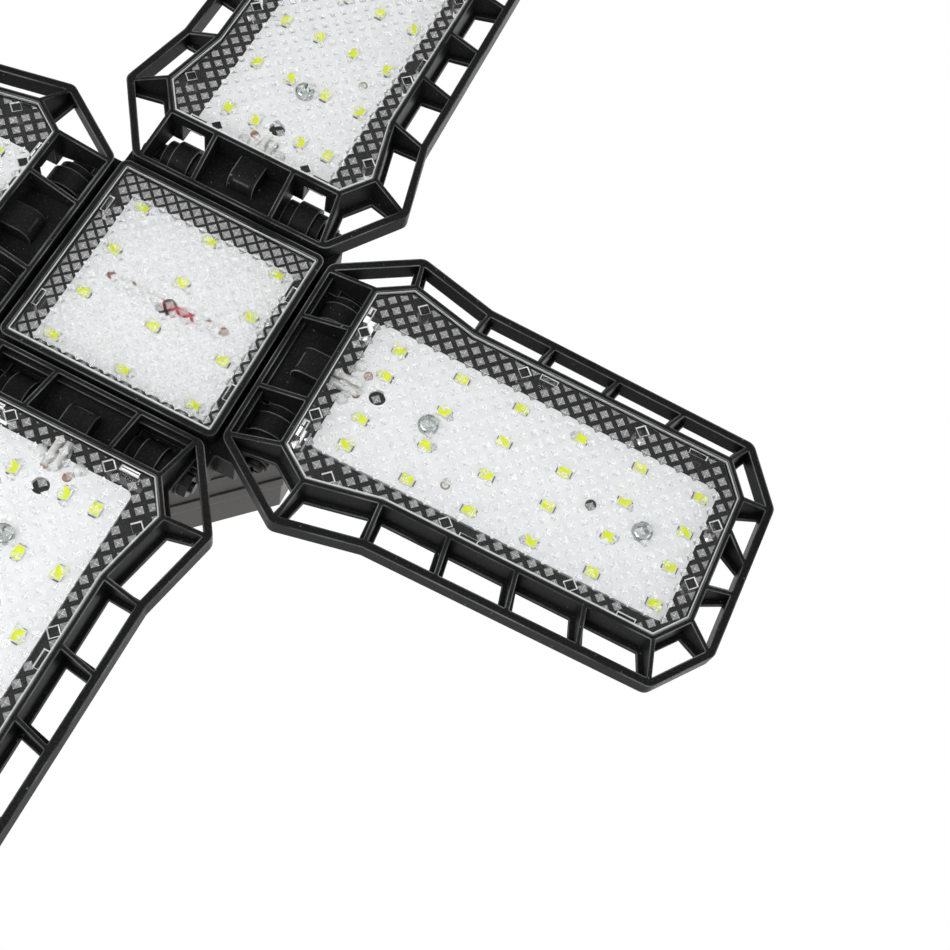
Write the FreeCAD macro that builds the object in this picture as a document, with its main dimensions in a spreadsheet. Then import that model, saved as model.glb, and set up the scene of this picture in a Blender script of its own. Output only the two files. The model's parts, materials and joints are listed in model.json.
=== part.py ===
"""Folding garage lamp: a square hub on a screw base, with four hinged light wings around it.

Lengths are millimetres. Everything is drawn with the hub's front face at height 0, the lenses
looking down and the screw base up, and is then lowered so that the origin lies at the foot of
the screw shell. A wing is drawn along +X: its length runs along X and its width along Y.
"""

import FreeCAD, Part
import math
import os

import Sketcher
from FreeCAD import Placement, Rotation, Vector

SIZES = {
    # hub: the square centre body that carries the hinges
    "hub_side": (59.2, "width of the square hub"),
    "hub_corner": (2.2, "radius of the hub's upright corners"),
    "hub_depth": (18.2, "front face to the back of the hinge flange"),
    "hub_bezel": (1.65, "width of the edge round the centre lens"),
    "hub_wall": (2.0, "side wall of the hub"),
    "flange_thick": (4.2, "eight-sided flange behind the hinges"),
    # light boards and lenses, alike in the hub and in the wings
    "lens_thick": (2.0, "clear lens plate"),
    "lens_ledge": (0.6, "ledge that the lens rests on"),
    "lens_fit": (0.1, "gap round a lens"),
    "led_drop": (6.1, "front of a lens to the top of the chips"),
    "led_long": (3.5, "light chip, length"),
    "led_wide": (2.8, "light chip, width"),
    "led_high": (0.7, "light chip, height"),
    "board_thick": (1.2, "metal-core light board"),
    "tray_floor": (2.0, "plastic floor that a board is screwed to"),
    "centre_board_side": (48.0, "square light board of the hub"),
    "centre_led_column": (19.8, "spacing of the three columns of the hub"),
    "centre_led_row": (14.4, "spacing of the four rows of the hub"),
    "centre_hole_radius": (2.6, "hole for the leads in the centre board"),
    "centre_lead_place": (1.3, "leads in that hole, from the lamp's axis"),
    "centre_lead_side": (0.5, "line of the leads beside the lamp's axis"),
    "centre_lead_long": (14.0, "stretch of a lead along the board"),
    "centre_tab_place": (16.0, "snap tabs of the centre lens, half spacing"),
    # wing outline: half widths and distances from the lamp's axis
    "rim_a_reach": (31.3, "hinge end of the rim"),
    "rim_a_half": (28.2, "half width of the hinge end"),
    "rim_b_reach": (51.9, "shoulder of the rim"),
    "rim_b_half": (42.3, "half width of the shoulder"),
    "rim_c_reach": (74.1, "waist of the rim"),
    "rim_c_half": (37.3, "half width of the waist"),
    "rim_d_reach": (149.8, "outer corner of the rim"),
    "rim_d_half": (36.3, "half width of the outer corner"),
    "rim_e_reach": (161.0, "outer end of the rim"),
    "rim_e_half": (21.7, "half width of the outer end"),
    "lens_a_reach": (46.3, "hinge end of the wing lens"),
    "lens_a_half": (24.2, "half width of the lens at its hinge end"),
    "lens_b_reach": (54.6, "shoulder of the wing lens"),
    "lens_b_half": (30.0, "half width of the lens at its shoulder"),
    "lens_c_reach": (73.2, "waist of the wing lens"),
    "lens_c_half": (25.8, "half width of the lens at its waist"),
    "lens_d_reach": (144.8, "outer corner of the wing lens"),
    "lens_d_half": (25.7, "half width of the lens at its outer corner"),
    "lens_e_reach": (151.1, "outer end of the wing lens"),
    "lens_e_half": (17.6, "half width of the lens at its outer end"),
    "rim_corner": (3.0, "radius of the rim's upright corners"),
    "rim_wall": (2.1, "thickness of the rim"),
    "hinge_end_wall": (1.25, "thickness of the rim's hinge end"),
    "hinge_ledge": (1.1, "ledge inside the hinge end"),
    "hinge_ledge_drop": (2.0, "rim's front to that ledge"),
    "rim_proud": (0.6, "rim in front of the hub's face"),
    "lens_proud": (5.2, "wing lens in front of the hub's face"),
    "tray_lip": (1.3, "edge of the tray round the lens"),
    "rib_thick": (1.2, "ribs between tray and rim"),
    "rib_flange": (1.2, "flange at the foot of ribs and tray"),
    "lattice_floor": (1.4, "thickness of those flanges"),
    "end_rib_inner": (8.1, "half spacing of the two end ribs at the tray"),
    "end_rib_outer": (4.6, "half spacing of the two end ribs at the rim"),
    # wing board
    "board_start": (50.4, "hinge end of the wing board"),
    "board_end": (146.0, "outer end of the wing board"),
    "board_half": (21.2, "half width of the wing board"),
    "board_chamfer": (5.0, "cut corners of the wing board"),
    "near_led_reach": (58.2, "column of chips nearest the hinge"),
    "near_led_row": (8.1, "spacing within that column's pairs"),
    "near_led_half": (10.9, "half spacing between those pairs"),
    "first_led_reach": (75.6, "first of the five even columns"),
    "led_column": (16.8, "spacing of the even columns"),
    "led_row": (10.53, "spacing of the four rows"),
    "near_screw_reach": (73.6, "board screw nearer the hinge"),
    "far_screw_reach": (133.0, "board screw nearer the outer end"),
    "post_side": (2.3, "square posts under the lens, set on edge"),
    "post_inset": (2.5, "posts from the edge of the lens"),
    "near_post_reach": (48.65, "posts at the hinge end"),
    "near_post_half": (13.1, "half spacing of those posts"),
    "shoulder_post_reach": (59.1, "posts behind the shoulder"),
    "shoulder_post_half": (26.6, "half spacing of those posts"),
    "waist_post_reach": (89.0, "posts beyond the waist"),
    "far_post_reach": (122.3, "posts before the outer corner"),
    "end_post_half": (8.5, "half spacing of the posts at the outer end"),
    "tab_wide": (4.4, "snap tabs of the lens"),
    "tab_thick": (1.2, "snap tabs of the lens"),
    "tab_hook": (1.6, "hook of a tab at the hinge end"),
    "tab_hook_high": (1.0, "height of that hook"),
    "inner_tab_reach": (95.6, "side tabs nearer the hinge"),
    "outer_tab_reach": (137.5, "side tabs nearer the outer end"),
    "window_place": (18.0, "windows in the tray's hinge end, half spacing"),
    "window_wide": (6.4, "width of such a window"),
    "window_front": (1.4, "back of the lens to the front of a window"),
    "window_reach": (49.4, "outer end of a window in the tray's floor"),
    # hinge
    "hinge_reach": (40.0, "hinge axis from the lamp's axis"),
    "hinge_depth": (8.5, "hinge axis behind the hub's face"),
    "pin_radius": (1.5, "hinge screw shank"),
    "pin_fit": (0.1, "radial play of the barrel on the screw"),
    "barrel_radius": (5.0, "hinge barrel of the wing"),
    "barrel_half": (11.6, "half length of the barrel"),
    "ear_radius": (5.3, "rounded end of a hub ear"),
    "ear_gap": (0.6, "room for a friction washer"),
    "ear_step_half": (23.4, "outer end of an ear's thick part"),
    "ear_collar_radius": (6.3, "collar in the middle of an ear"),
    "ear_collar_fit": (0.4, "gap between that collar and the sides of its window"),
    "ear_end_radius": (3.4, "thin outer end of an ear"),
    "ear_end_half": (27.0, "outer end of an ear's thin part"),
    "ear_web_front": (6.2, "front of an ear's web"),
    "gusset_half": (31.2, "outer side of the gusset at the hub's corner"),
    "gusset_reach": (36.5, "end of that gusset from the lamp's axis"),
    "washer_thick": (0.45, "friction washer"),
    "washer_radius": (3.5, "friction washer"),
    "hinge_rib_half": (11.3, "half spacing of the two ribs over the hinge"),
    "tunnel_width": (7.5, "wire tunnel in the middle pocket"),
    "tunnel_start": (36.9, "hub end of the wire tunnel"),
    "tunnel_high": (4.4, "height of the tunnel over its floor"),
    "tunnel_round": (3.4, "rounded back of the tunnel"),
    "barrel_web_half": (3.5, "half width of the web that carries the barrel"),
    "nut_width": (5.5, "hinge nut across its flats"),
    "nut_high": (2.4, "hinge nut"),
    "pin_tail": (1.0, "hinge screw beyond its nut"),
    # driver housing and neck
    "housing_half": (42.2, "axis to the sides of the housing"),
    "housing_diagonal": (40.4, "axis to its corner faces"),
    "housing_wall": (2.2, "wall of the housing"),
    "collar_step": (0.6, "how far the housing is drawn in behind the flange"),
    "collar_height": (29.0, "back of that drawn-in collar"),
    "seam_height": (39.0, "joint between the two housing shells"),
    "seam_groove": (0.5, "groove at that joint"),
    "band_high": (5.0, "band at the joint"),
    "band_proud": (0.6, "band beyond the wall"),
    "shoulder_height": (59.0, "start of the sloping shoulder"),
    "shoulder_rise": (8.0, "height of the shoulder"),
    "shoulder_draw": (12.0, "how far the shoulder draws in"),
    "neck_foot_radius": (23.0, "neck where it leaves the shoulder"),
    "neck_waist_radius": (18.5, "neck above its foot"),
    "neck_waist_height": (78.0, "height of that waist"),
    "neck_radius": (16.5, "neck under the screw shell"),
    "neck_wall": (2.4, "wall of the neck"),
    "boss_radius": (3.6, "screw boss in the housing"),
    "boss_place": (24.0, "screw bosses from the axis along X and Y"),
    "hub_boss_place": (19.0, "hub screws from the axis along X and Y"),
    # screw base
    "base_height": (103.0, "hub face to the foot of the screw shell"),
    "spigot_radius": (11.3, "plastic spigot inside the screw shell"),
    "spigot_high": (15.0, "height of that spigot"),
    "shell_root_radius": (12.25, "screw shell between the threads"),
    "shell_crest_radius": (13.15, "screw shell over the threads"),
    "shell_thick": (0.5, "sheet of the screw shell"),
    "thread_pitch": (3.629, "seven threads to the inch"),
    "thread_round": (0.25, "rounding of a thread's crest"),
    "shell_high": (19.0, "height of the screw shell"),
    "shell_draw": (2.0, "how far the shell's end draws in"),
    "shell_bend": (1.5, "height over which it draws in"),
    "insulator_high": (4.0, "black insulator over the shell"),
    "insulator_plug": (2.4, "foot of the insulator inside the shell"),
    "insulator_lip": (1.2, "lip of the insulator over the shell"),
    "lead_hole": (1.5, "hole for a lead in the insulator"),
    "contact_radius": (4.8, "centre contact"),
    "contact_high": (1.8, "centre contact"),
    # driver
    "driver_board_height": (25.0, "underside of the driver board"),
    "driver_board_long": (56.0, "driver board, length"),
    "driver_board_wide": (34.0, "driver board, width"),
    "driver_board_thick": (1.6, "driver board"),
    "core_long": (14.0, "transformer core, length"),
    "core_wide": (16.0, "transformer core, width"),
    "core_thick": (4.0, "transformer core, each plate"),
    "winding_high": (11.0, "transformer winding"),
    "winding_inset": (2.0, "winding from the sides of its core"),
    "core_place": (20.0, "transformer from the axis"),
    "capacitor_radius": (6.0, "capacitor"),
    "capacitor_high": (20.0, "capacitor"),
    "capacitor_rim": (1.0, "rolled rim of the capacitor"),
    "mains_lead_place": (3.0, "mains leads from the axis"),
    "lead_radius": (0.9, "mains and wing leads"),
    "screw_radius": (1.45, "self-tapping screws"),
    "screw_fit": (0.1, "radial gap round a screw"),
    "screw_head_radius": (2.7, "pan head"),
    "screw_head_high": (1.8, "pan head"),
    "screw_head_chamfer": (0.9, "chamfer round a pan head"),
    "board_screw_long": (3.0, "board screws"),
    "shell_screw_long": (14.0, "screws that join the two shells"),
    "hub_screw_long": (8.0, "screws that hold the hub"),
    "driver_screw_long": (5.0, "driver screws"),
}

# small parts on the driver board: length, width, height, then near corner along X and Y
COMPONENTS = {
    "rectifier": (6.0, 5.0, 2.5, 2.0, -13.0),
    "film_capacitor": (8.0, 4.0, 6.0, 11.0, -10.0),
    "choke": (4.0, 8.0, 7.0, -3.0, 3.0),
}
CAPACITOR_PLACE = (12.0, 6.0)

WINGS = (1, 2, 3, 4)


class Size:
    """A number together with the sheet expression that it comes from."""

    def __init__(self, value, text):
        self.value, self.text = value, text

    def __add__(self, other):
        other = as_size(other)
        return Size(self.value + other.value, f"({self.text} + {other.text})")

    def __sub__(self, other):
        other = as_size(other)
        return Size(self.value - other.value, f"({self.text} - {other.text})")

    def __mul__(self, factor):
        return Size(self.value * factor, f"({self.text} * {factor:.9f})")

    def __truediv__(self, factor):
        return self * (1.0 / factor)

    def __neg__(self):
        return self * -1.0

    def __radd__(self, other):
        return self + other

    def __rsub__(self, other):
        return as_size(other) - self

    __rmul__ = __mul__


def as_size(number):
    return number if isinstance(number, Size) else Size(float(number), f"{number:.9f}")


class Sheet:
    """The driving dimensions; sheet.name is the Size of the cell with that alias."""

    def __init__(self, doc):
        table = doc.addObject("Spreadsheet::Sheet", "sizes")
        for row, (name, (value, meaning)) in enumerate(SIZES.items(), start=1):
            table.set(f"A{row}", name)
            table.set(f"B{row}", str(value))
            table.set(f"C{row}", meaning)
            table.setAlias(f"B{row}", name)
        doc.recompute()

    def __getattr__(self, name):
        return Size(SIZES[name][0], f"sizes.{name}")


doc = FreeCAD.newDocument("garage_lamp")
s = Sheet(doc)
NODES = []


def bind(thing, prop, size):
    thing.setExpression(prop, as_size(size).text)


def turn(quarter):
    """Rotation that carries a wing drawn along +X to its own side of the hub."""
    return Rotation(Vector(0, 0, 1), 90.0 * quarter)


def seat(node, label, quarter=0):
    """Name a finished node, turn it to its side and lower it to the lamp's own origin."""
    node.Label = label
    node.Placement = Placement(Vector(0, 0, 0), turn(quarter))
    bind(node, ".Placement.Base.z", -s.base_height)
    NODES.append(node)
    return node


# ---------------------------------------------------------------- sketches and features


def sketch_on(body, role, height):
    """A sketch on one of the body's own planes, moved along that plane's normal."""
    sketch = body.newObject("Sketcher::SketchObject", "outline")
    plane = next(o for o in body.Origin.OriginFeatures if o.Role == role)
    sketch.AttachmentSupport = (plane, [""])
    sketch.MapMode = "FlatFace"
    bind(sketch, "AttachmentOffset.Base.z", height)
    return sketch


def point_rules(geometry, end, x, y):
    """Rules that hold a point at its place, each with the size that drives it."""
    return [
        (Sketcher.Constraint(kind, -1, 1, geometry, end, as_size(size).value), as_size(size))
        for kind, size in (("DistanceX", x), ("DistanceY", y))
    ]


def polygon_rules(sketch, corners):
    """Add a closed outline; give the rules that join its sides and place its corners."""
    first, count = sketch.GeometryCount, len(corners)
    points = [Vector(as_size(x).value, as_size(y).value, 0) for x, y in corners]
    sides = [Part.LineSegment(points[i], points[(i + 1) % count]) for i in range(count)]
    sketch.addGeometry(sides, False)
    rules = []
    for i, (x, y) in enumerate(corners):
        following = first + (i + 1) % count
        rules.append((Sketcher.Constraint("Coincident", first + i, 2, following, 1), None))
        rules += point_rules(first + i, 1, x, y)
    return rules


def circle_rules(sketch, x, y, radius):
    centre = Vector(as_size(x).value, as_size(y).value, 0)
    ring = Part.Circle(centre, Vector(0, 0, 1), as_size(radius).value)
    geometry = sketch.addGeometry(ring, False)
    radius_rule = Sketcher.Constraint("Radius", geometry, as_size(radius).value)
    return point_rules(geometry, 3, x, y) + [(radius_rule, as_size(radius))]


def circle(x, y, radius):
    return ("circle", x, y, radius)


def draw(sketch, outlines):
    """Draw outlines, their rules added in one go and then bound to the sheet."""
    rules = []
    for outline in outlines:
        if outline[0] == "circle":
            rules += circle_rules(sketch, *outline[1:])
        else:
            rules += polygon_rules(sketch, outline)
    numbers = sketch.addConstraint([rule for rule, size in rules])
    for number, (rule, size) in zip(numbers, rules):
        if size is not None:
            sketch.setExpression(f"Constraints[{number}]", size.text)
    return sketch


def raised(body, outlines, low, high):
    """Pad outlines upwards from one height to another."""
    pad = body.newObject("PartDesign::Pad", "raised")
    pad.Profile = draw(sketch_on(body, "XY_Plane", low), outlines)
    bind(pad, "Length", high - low)
    doc.recompute()
    return pad


def sunk(body, outlines, low, high):
    """Cut outlines away between two heights."""
    pocket = body.newObject("PartDesign::Pocket", "sunk")
    pocket.Profile = draw(sketch_on(body, "XY_Plane", high), outlines)
    bind(pocket, "Length", high - low)
    doc.recompute()
    return pocket


def across(body, kind, outlines, middle, width):
    """Pad or cut outlines drawn in X and height, evenly about a place along Y."""
    feature = body.newObject(kind, "across")
    feature.Profile = draw(sketch_on(body, "XZ_Plane", -as_size(middle)), outlines)
    feature.SideType = "Symmetric"
    bind(feature, "Length", width)
    doc.recompute()
    return feature


def lofted(body, kind, low, low_outline, high, high_outline):
    """Join two outlines at two heights with flat sides."""
    feature = body.newObject(kind, "lofted")
    lower = draw(sketch_on(body, "XY_Plane", low), [low_outline])
    upper = draw(sketch_on(body, "XY_Plane", high), [high_outline])
    feature.Profile = lower
    feature.Sections = [upper]
    feature.Ruled = True
    doc.recompute()
    return feature


def spun(body, kind, outline):
    """Turn an outline, drawn as radius and height, once about the lamp's axis."""
    feature = body.newObject(kind, "spun")
    feature.Profile = draw(sketch_on(body, "XZ_Plane", 0), [outline])
    axis = next(o for o in body.Origin.OriginFeatures if o.Role == "Z_Axis")
    feature.ReferenceAxis = (axis, [""])
    feature.Angle = 360.0
    doc.recompute()
    return feature


def turned(body, kind, outline):
    """Turn an outline, drawn as radius and place along Y, once about the hinge axis."""
    feature = body.newObject(kind, "turned")
    sketch = sketch_on(body, "XY_Plane", s.hinge_depth)
    bind(sketch, "AttachmentOffset.Base.x", s.hinge_reach)
    feature.Profile = draw(sketch, [outline])
    feature.ReferenceAxis = (sketch, ["V_Axis"])
    feature.Angle = 360.0
    doc.recompute()
    return feature


def rounded(body, feature, radius, chosen):
    """Fillet the edges of a feature that chosen() picks."""
    names = [f"Edge{i}" for i, e in enumerate(feature.Shape.Edges, 1) if chosen(e)]
    fillet = body.newObject("PartDesign::Fillet", "rounded")
    fillet.Base = (feature, names)
    bind(fillet, "Radius", radius)
    doc.recompute()
    return fillet


def upright(edge):
    """Is this straight edge parallel to the lamp's axis?"""
    ends = [v.Point for v in edge.Vertexes]
    return len(ends) == 2 and (ends[1] - ends[0]).cross(Vector(0, 0, 1)).Length < 1e-6


def upright_at(reach):
    """Picks the upright edges that lie this far from the lamp's axis along X."""
    def chosen(edge):
        return upright(edge) and abs(abs(edge.Vertexes[0].X) - reach.value) < 1e-6
    return chosen


def round_the_hub(body, features):
    """Repeat features on all four sides of the hub."""
    pattern = body.newObject("PartDesign::PolarPattern", "on_four_sides")
    pattern.Originals = features
    axis = next(o for o in body.Origin.OriginFeatures if o.Role == "Z_Axis")
    pattern.Axis = (axis, [""])
    pattern.Occurrences = 4
    pattern.Angle = 360.0
    body.Tip = pattern
    doc.recompute()
    return pattern


def new_body(name):
    return doc.addObject("PartDesign::Body", name)


# ---------------------------------------------------------------- outlines


def box(x_low, x_high, y_low, y_high):
    return [(x_low, y_low), (x_high, y_low), (x_high, y_high), (x_low, y_high)]


def square(side):
    return box(side * -0.5, side * 0.5, side * -0.5, side * 0.5)


def eight_sided(half, diagonal):
    """Square of the given half width with its corners cut at the given diagonal distance."""
    cut = diagonal * math.sqrt(2) - half
    near = [(half, -cut), (half, cut), (cut, half), (-cut, half)]
    return near + [(-x, -y) for x, y in near]


def diamond(x, y, side):
    """Square standing on its corner, about a place."""
    reach = side / math.sqrt(2)
    return [(x - reach, y), (x, y - reach), (x + reach, y), (x, y + reach)]


def inset(corners, *amounts):
    """Move each side of a counter-clockwise outline inwards, each by its own amount."""
    count = len(corners)
    plain = [(as_size(x).value, as_size(y).value) for x, y in corners]
    amounts = [amounts[i % len(amounts)] for i in range(count)]
    normals = []
    for (x0, y0), (x1, y1) in zip(plain, plain[1:] + plain[:1]):
        length = math.hypot(x1 - x0, y1 - y0)
        normals.append(((y0 - y1) / length, (x1 - x0) / length))
    moved = []
    for i, (x, y) in enumerate(corners):
        (ax, ay), (bx, by) = normals[i - 1], normals[i]
        span = ax * by - ay * bx
        before, after = as_size(amounts[i - 1]), as_size(amounts[i])
        moved.append((
            x + before * (by / span) - after * (ay / span),
            y + after * (ax / span) - before * (bx / span),
        ))
    return moved


def mirrored(half_outline):
    """Close a half outline, given from the hinge end outwards at +Y, counter-clockwise."""
    return [(x, -y) for x, y in half_outline] + half_outline[::-1]


RIM_HALF = [
    (s.rim_a_reach, s.rim_a_half),
    (s.rim_b_reach, s.rim_b_half),
    (s.rim_c_reach, s.rim_c_half),
    (s.rim_d_reach, s.rim_d_half),
    (s.rim_e_reach, s.rim_e_half),
]
LENS_HALF = [
    (s.lens_a_reach, s.lens_a_half),
    (s.lens_b_reach, s.lens_b_half),
    (s.lens_c_reach, s.lens_c_half),
    (s.lens_d_reach, s.lens_d_half),
    (s.lens_e_reach, s.lens_e_half),
]
RIM = mirrored(RIM_HALF)
RIM_INSIDE = inset(RIM, *[s.rim_wall] * 9, s.hinge_end_wall)
LENS = mirrored(LENS_HALF)
TRAY = inset(LENS, -s.tray_lip)
TRAY_INSIDE = inset(LENS, s.lens_ledge)

# heights in a wing, from the lens in front to the floor at the back
WING_FRONT = -s.lens_proud
LENS_BACK = WING_FRONT + s.lens_thick
BOARD_FRONT = WING_FRONT + s.led_drop + s.led_high
BOARD_BACK = BOARD_FRONT + s.board_thick
WING_BACK = BOARD_BACK + s.tray_floor
RIM_FRONT = -s.rim_proud
# heights in the hub
CENTRE_BOARD_FRONT = s.led_drop + s.led_high
HUB_FLOOR = CENTRE_BOARD_FRONT + s.board_thick
HUB_FLOOR_BACK = HUB_FLOOR + s.tray_floor
WINDOW_FRONT = LENS_BACK + s.window_front
SLACK = 1.0  # how far a through cut overshoots


def between(start, end, share):
    return tuple(a * (1.0 - share) + b * share for a, b in zip(start, end))


def rib_lines():
    """Ribs as (tray point, rim point) pairs, counter-clockwise from the hinge end at -Y."""
    tray, rim = TRAY, RIM_INSIDE
    lines = [(tray[i], rim[i]) for i in (0, 1, 2)]
    for share in (0.25, 0.5, 0.75):
        lines.append((between(tray[2], tray[3], share), between(rim[2], rim[3], share)))
    lines += [(tray[i], rim[i]) for i in (3, 4)]
    end_tray, end_rim = tray[4][0], rim[4][0]
    for side in (-1.0, 1.0):
        lines.append(((end_tray, s.end_rib_inner * side), (end_rim, s.end_rib_outer * side)))
    opposite = [((t[0], -t[1]), (r[0], -r[1])) for t, r in lines[:8]]
    return lines + opposite[::-1]


def lattice_cells(foot):
    """Cells between neighbouring ribs, drawn in from ribs and tray by the width of a foot."""
    lines = rib_lines()
    half_rib = s.rib_thick / 2 + foot
    cells = []
    for (tray_0, rim_0), (tray_1, rim_1) in zip(lines, lines[1:]):
        quad = [tray_0, rim_0, rim_1, tray_1]
        cells.append(inset(quad, half_rib, 0.0, half_rib, foot))
    return cells


def hinge_cells(ledge):
    """Two side pockets over the ears and the middle pocket, drawn in by a ledge at the hinge."""
    (tray_x, tray_y), (rim_x, rim_y) = TRAY[-1], RIM_INSIDE[-1]
    rib = s.hinge_rib_half
    half = s.rib_thick / 2
    side = [(rim_x, rib), (tray_x, rib), (tray_x, tray_y), (rim_x, rim_y)]
    side = inset(side, half, 0.0, half, ledge)
    other_side = [(x, -y) for x, y in side[::-1]]
    middle = inset(box(rim_x, tray_x, -rib, rib), half, 0.0, half, ledge)
    return side, other_side, middle


# ---------------------------------------------------------------- hub


def hinge_ear(body, side):
    """Ear with a collar in its middle and a thin outer end, on a web with a corner gusset."""
    inner, step, outer = s.barrel_half + s.ear_gap, s.ear_step_half, s.ear_end_half
    collar_half = s.window_wide / 2 - s.ear_collar_fit
    collar_start, collar_end = s.window_place - collar_half, s.window_place + collar_half
    profile = [
        (0, inner), (s.ear_radius, inner), (s.ear_radius, collar_start),
        (s.ear_collar_radius, collar_start), (s.ear_collar_radius, collar_end),
        (s.ear_radius, collar_end), (s.ear_radius, step), (s.ear_end_radius, step),
        (s.ear_end_radius, outer), (0, outer),
    ]
    end = turned(body, "PartDesign::Revolution", [(r, y * side) for r, y in profile])
    hub_inside = s.hub_side / 2 - s.hub_wall
    foot = s.hub_depth - s.flange_thick + SLACK / 2
    web = across(
        body, "PartDesign::Pad", [box(hub_inside, s.hinge_reach, s.ear_web_front, foot)],
        (inner + outer) / 2 * side, outer - inner,
    )
    gusset_front = s.hinge_depth - s.ear_end_radius
    gusset = across(
        body, "PartDesign::Pad", [box(hub_inside, s.gusset_reach, gusset_front, foot)],
        (step + s.gusset_half) / 2 * side, s.gusset_half - step,
    )
    return [end, web, gusset]


def hub_body():
    body = new_body("hub_body")
    block = raised(body, [square(s.hub_side)], as_size(0), s.hub_depth)
    rounded(body, block, s.hub_corner, upright)
    flange = eight_sided(s.housing_half, s.housing_diagonal)
    raised(body, [flange], s.hub_depth - s.flange_thick, s.hub_depth)
    lens_side = s.hub_side - s.hub_bezel * 2
    seat_of_lens = sunk(body, [square(lens_side)], as_size(-SLACK), s.lens_thick)
    rounded(body, seat_of_lens, s.hub_corner - s.hub_bezel, upright_at(lens_side / 2))
    sunk(body, [square(lens_side - s.lens_ledge * 2)], as_size(0), HUB_FLOOR)
    cavity = square(s.hub_side - s.hub_wall * 2)
    sunk(body, [cavity], HUB_FLOOR_BACK, s.hub_depth + SLACK)
    ears = hinge_ear(body, 1.0) + hinge_ear(body, -1.0)
    round_the_hub(body, ears)
    bore = across(
        body, "PartDesign::Pocket",
        [circle(s.hinge_reach, s.hinge_depth, s.pin_radius + s.screw_fit / 2)],
        0, s.hub_side,
    )
    round_the_hub(body, [bore])
    bosses = [circle(x, y, s.boss_radius) for x, y in four_places(s.hub_boss_place)]
    raised(body, bosses, HUB_FLOOR, s.hub_depth)
    pilots = [
        circle(x, y, s.screw_radius + s.screw_fit) for x, y in four_places(s.hub_boss_place)
    ]
    sunk(body, pilots, HUB_FLOOR_BACK, s.hub_depth + SLACK)
    sunk(body, [circle(0, 0, s.boss_radius)], HUB_FLOOR - SLACK, HUB_FLOOR_BACK + SLACK)
    return seat(body, "hub_body")


def four_places(place):
    return [(place * x, place * y) for x, y in ((1, 1), (-1, 1), (-1, -1), (1, -1))]


def centre_light():
    lens = new_body("centre_lens")
    side = s.hub_side - s.hub_bezel * 2 - s.lens_fit * 2
    plate = raised(lens, [square(side)], as_size(0), s.lens_thick)
    rounded(lens, plate, s.hub_corner - s.hub_bezel, upright)
    outer = side / 2 - s.lens_ledge
    tabs = []
    for middle in (s.centre_tab_place, -s.centre_tab_place):
        low, high = middle - s.tab_wide / 2, middle + s.tab_wide / 2
        tabs += [box(outer - s.tab_thick, outer, low, high), box(-outer, s.tab_thick - outer, low, high)]
    raised(lens, tabs, s.lens_thick - SLACK / 2, CENTRE_BOARD_FRONT)
    seat(lens, "centre_lens")

    board = new_body("centre_board")
    raised(board, [square(s.centre_board_side)], CENTRE_BOARD_FRONT, HUB_FLOOR)
    sunk(board, [circle(0, s.centre_lead_side, s.centre_hole_radius)],
         CENTRE_BOARD_FRONT - SLACK, HUB_FLOOR + SLACK)
    seat(board, "centre_board")

    places = [
        (s.centre_led_column * column, s.centre_led_row * row)
        for column in (-1, 0, 1)
        for row in (-1.5, -0.5, 0.5, 1.5)
    ]
    chip_group("centre_leds", places, s.led_drop, CENTRE_BOARD_FRONT, 0)
    group("centre_leads", [centre_lead(1), centre_lead(-1)])


def centre_lead(side):
    """Lead that comes up through the centre board and runs along it to its solder pad."""
    radius = s.lead_radius.value
    along_board = CENTRE_BOARD_FRONT.value - radius
    bend = Vector(s.centre_lead_place.value * side, s.centre_lead_side.value, along_board)
    riser = Part.makeCylinder(radius, HUB_FLOOR_BACK.value - along_board, bend)
    run = Part.makeCylinder(radius, s.centre_lead_long.value, bend, Vector(side, 0, 0))
    elbow = Part.makeSphere(radius, bend)
    return riser.fuse([run, elbow]).removeSplitter()


def chip_group(label, places, low, high, quarter):
    """Light chips: separate small blocks that share one node."""
    chips = []
    for x, y in places:
        chip = Part.makeBox(s.led_long.value, s.led_wide.value, (high - low).value)
        corner = Vector(
            as_size(x).value - s.led_long.value / 2,
            as_size(y).value - s.led_wide.value / 2,
            low.value,
        )
        chip.translate(corner)
        chips.append(chip)
    return group(label, chips, quarter)


def group(label, solids, quarter=0):
    """Separate solids that share one node."""
    node = doc.addObject("Part::Feature", label)
    node.Shape = Part.makeCompound(solids)
    return seat(node, label, quarter)


# ---------------------------------------------------------------- wings


def wing_frame(number, quarter):
    """Tray for the board and lens, hinge pockets, and the ribbed lattice out to the rim."""
    body = new_body(f"wing_{number}_frame")
    block = raised(body, [RIM], RIM_FRONT, WING_BACK)
    rounded(body, block, s.rim_corner, upright)
    lofted(body, "PartDesign::AdditiveLoft", WING_FRONT, TRAY, RIM_FRONT, RIM_INSIDE)
    open_front = WING_FRONT - SLACK
    sunk(body, [LENS], open_front, LENS_BACK)
    sunk(body, [TRAY_INSIDE], WING_FRONT, BOARD_BACK)
    sunk(body, hinge_cells(0.0), open_front, RIM_FRONT + s.hinge_ledge_drop)
    side, other_side, middle = hinge_cells(s.hinge_ledge)
    sunk(body, [middle], open_front, BOARD_BACK)
    barrel(body)
    wire_tunnel(body)
    screws = [(s.near_screw_reach, 0.0), (s.far_screw_reach, 0.0)]
    pilot = s.screw_radius + s.screw_fit
    sunk(body, [circle(x, y, pilot) for x, y in screws], BOARD_BACK - SLACK, WING_BACK + SLACK)
    sunk(body, [side, other_side], open_front, WING_BACK + SLACK)
    sunk(body, tray_windows(), WINDOW_FRONT, WING_BACK + SLACK)
    sunk(body, lattice_cells(0.0), open_front, WING_BACK - s.lattice_floor)
    sunk(body, lattice_cells(s.rib_flange), WING_FRONT, WING_BACK + SLACK)
    return seat(body, f"wing_{number}_frame", quarter)


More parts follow.
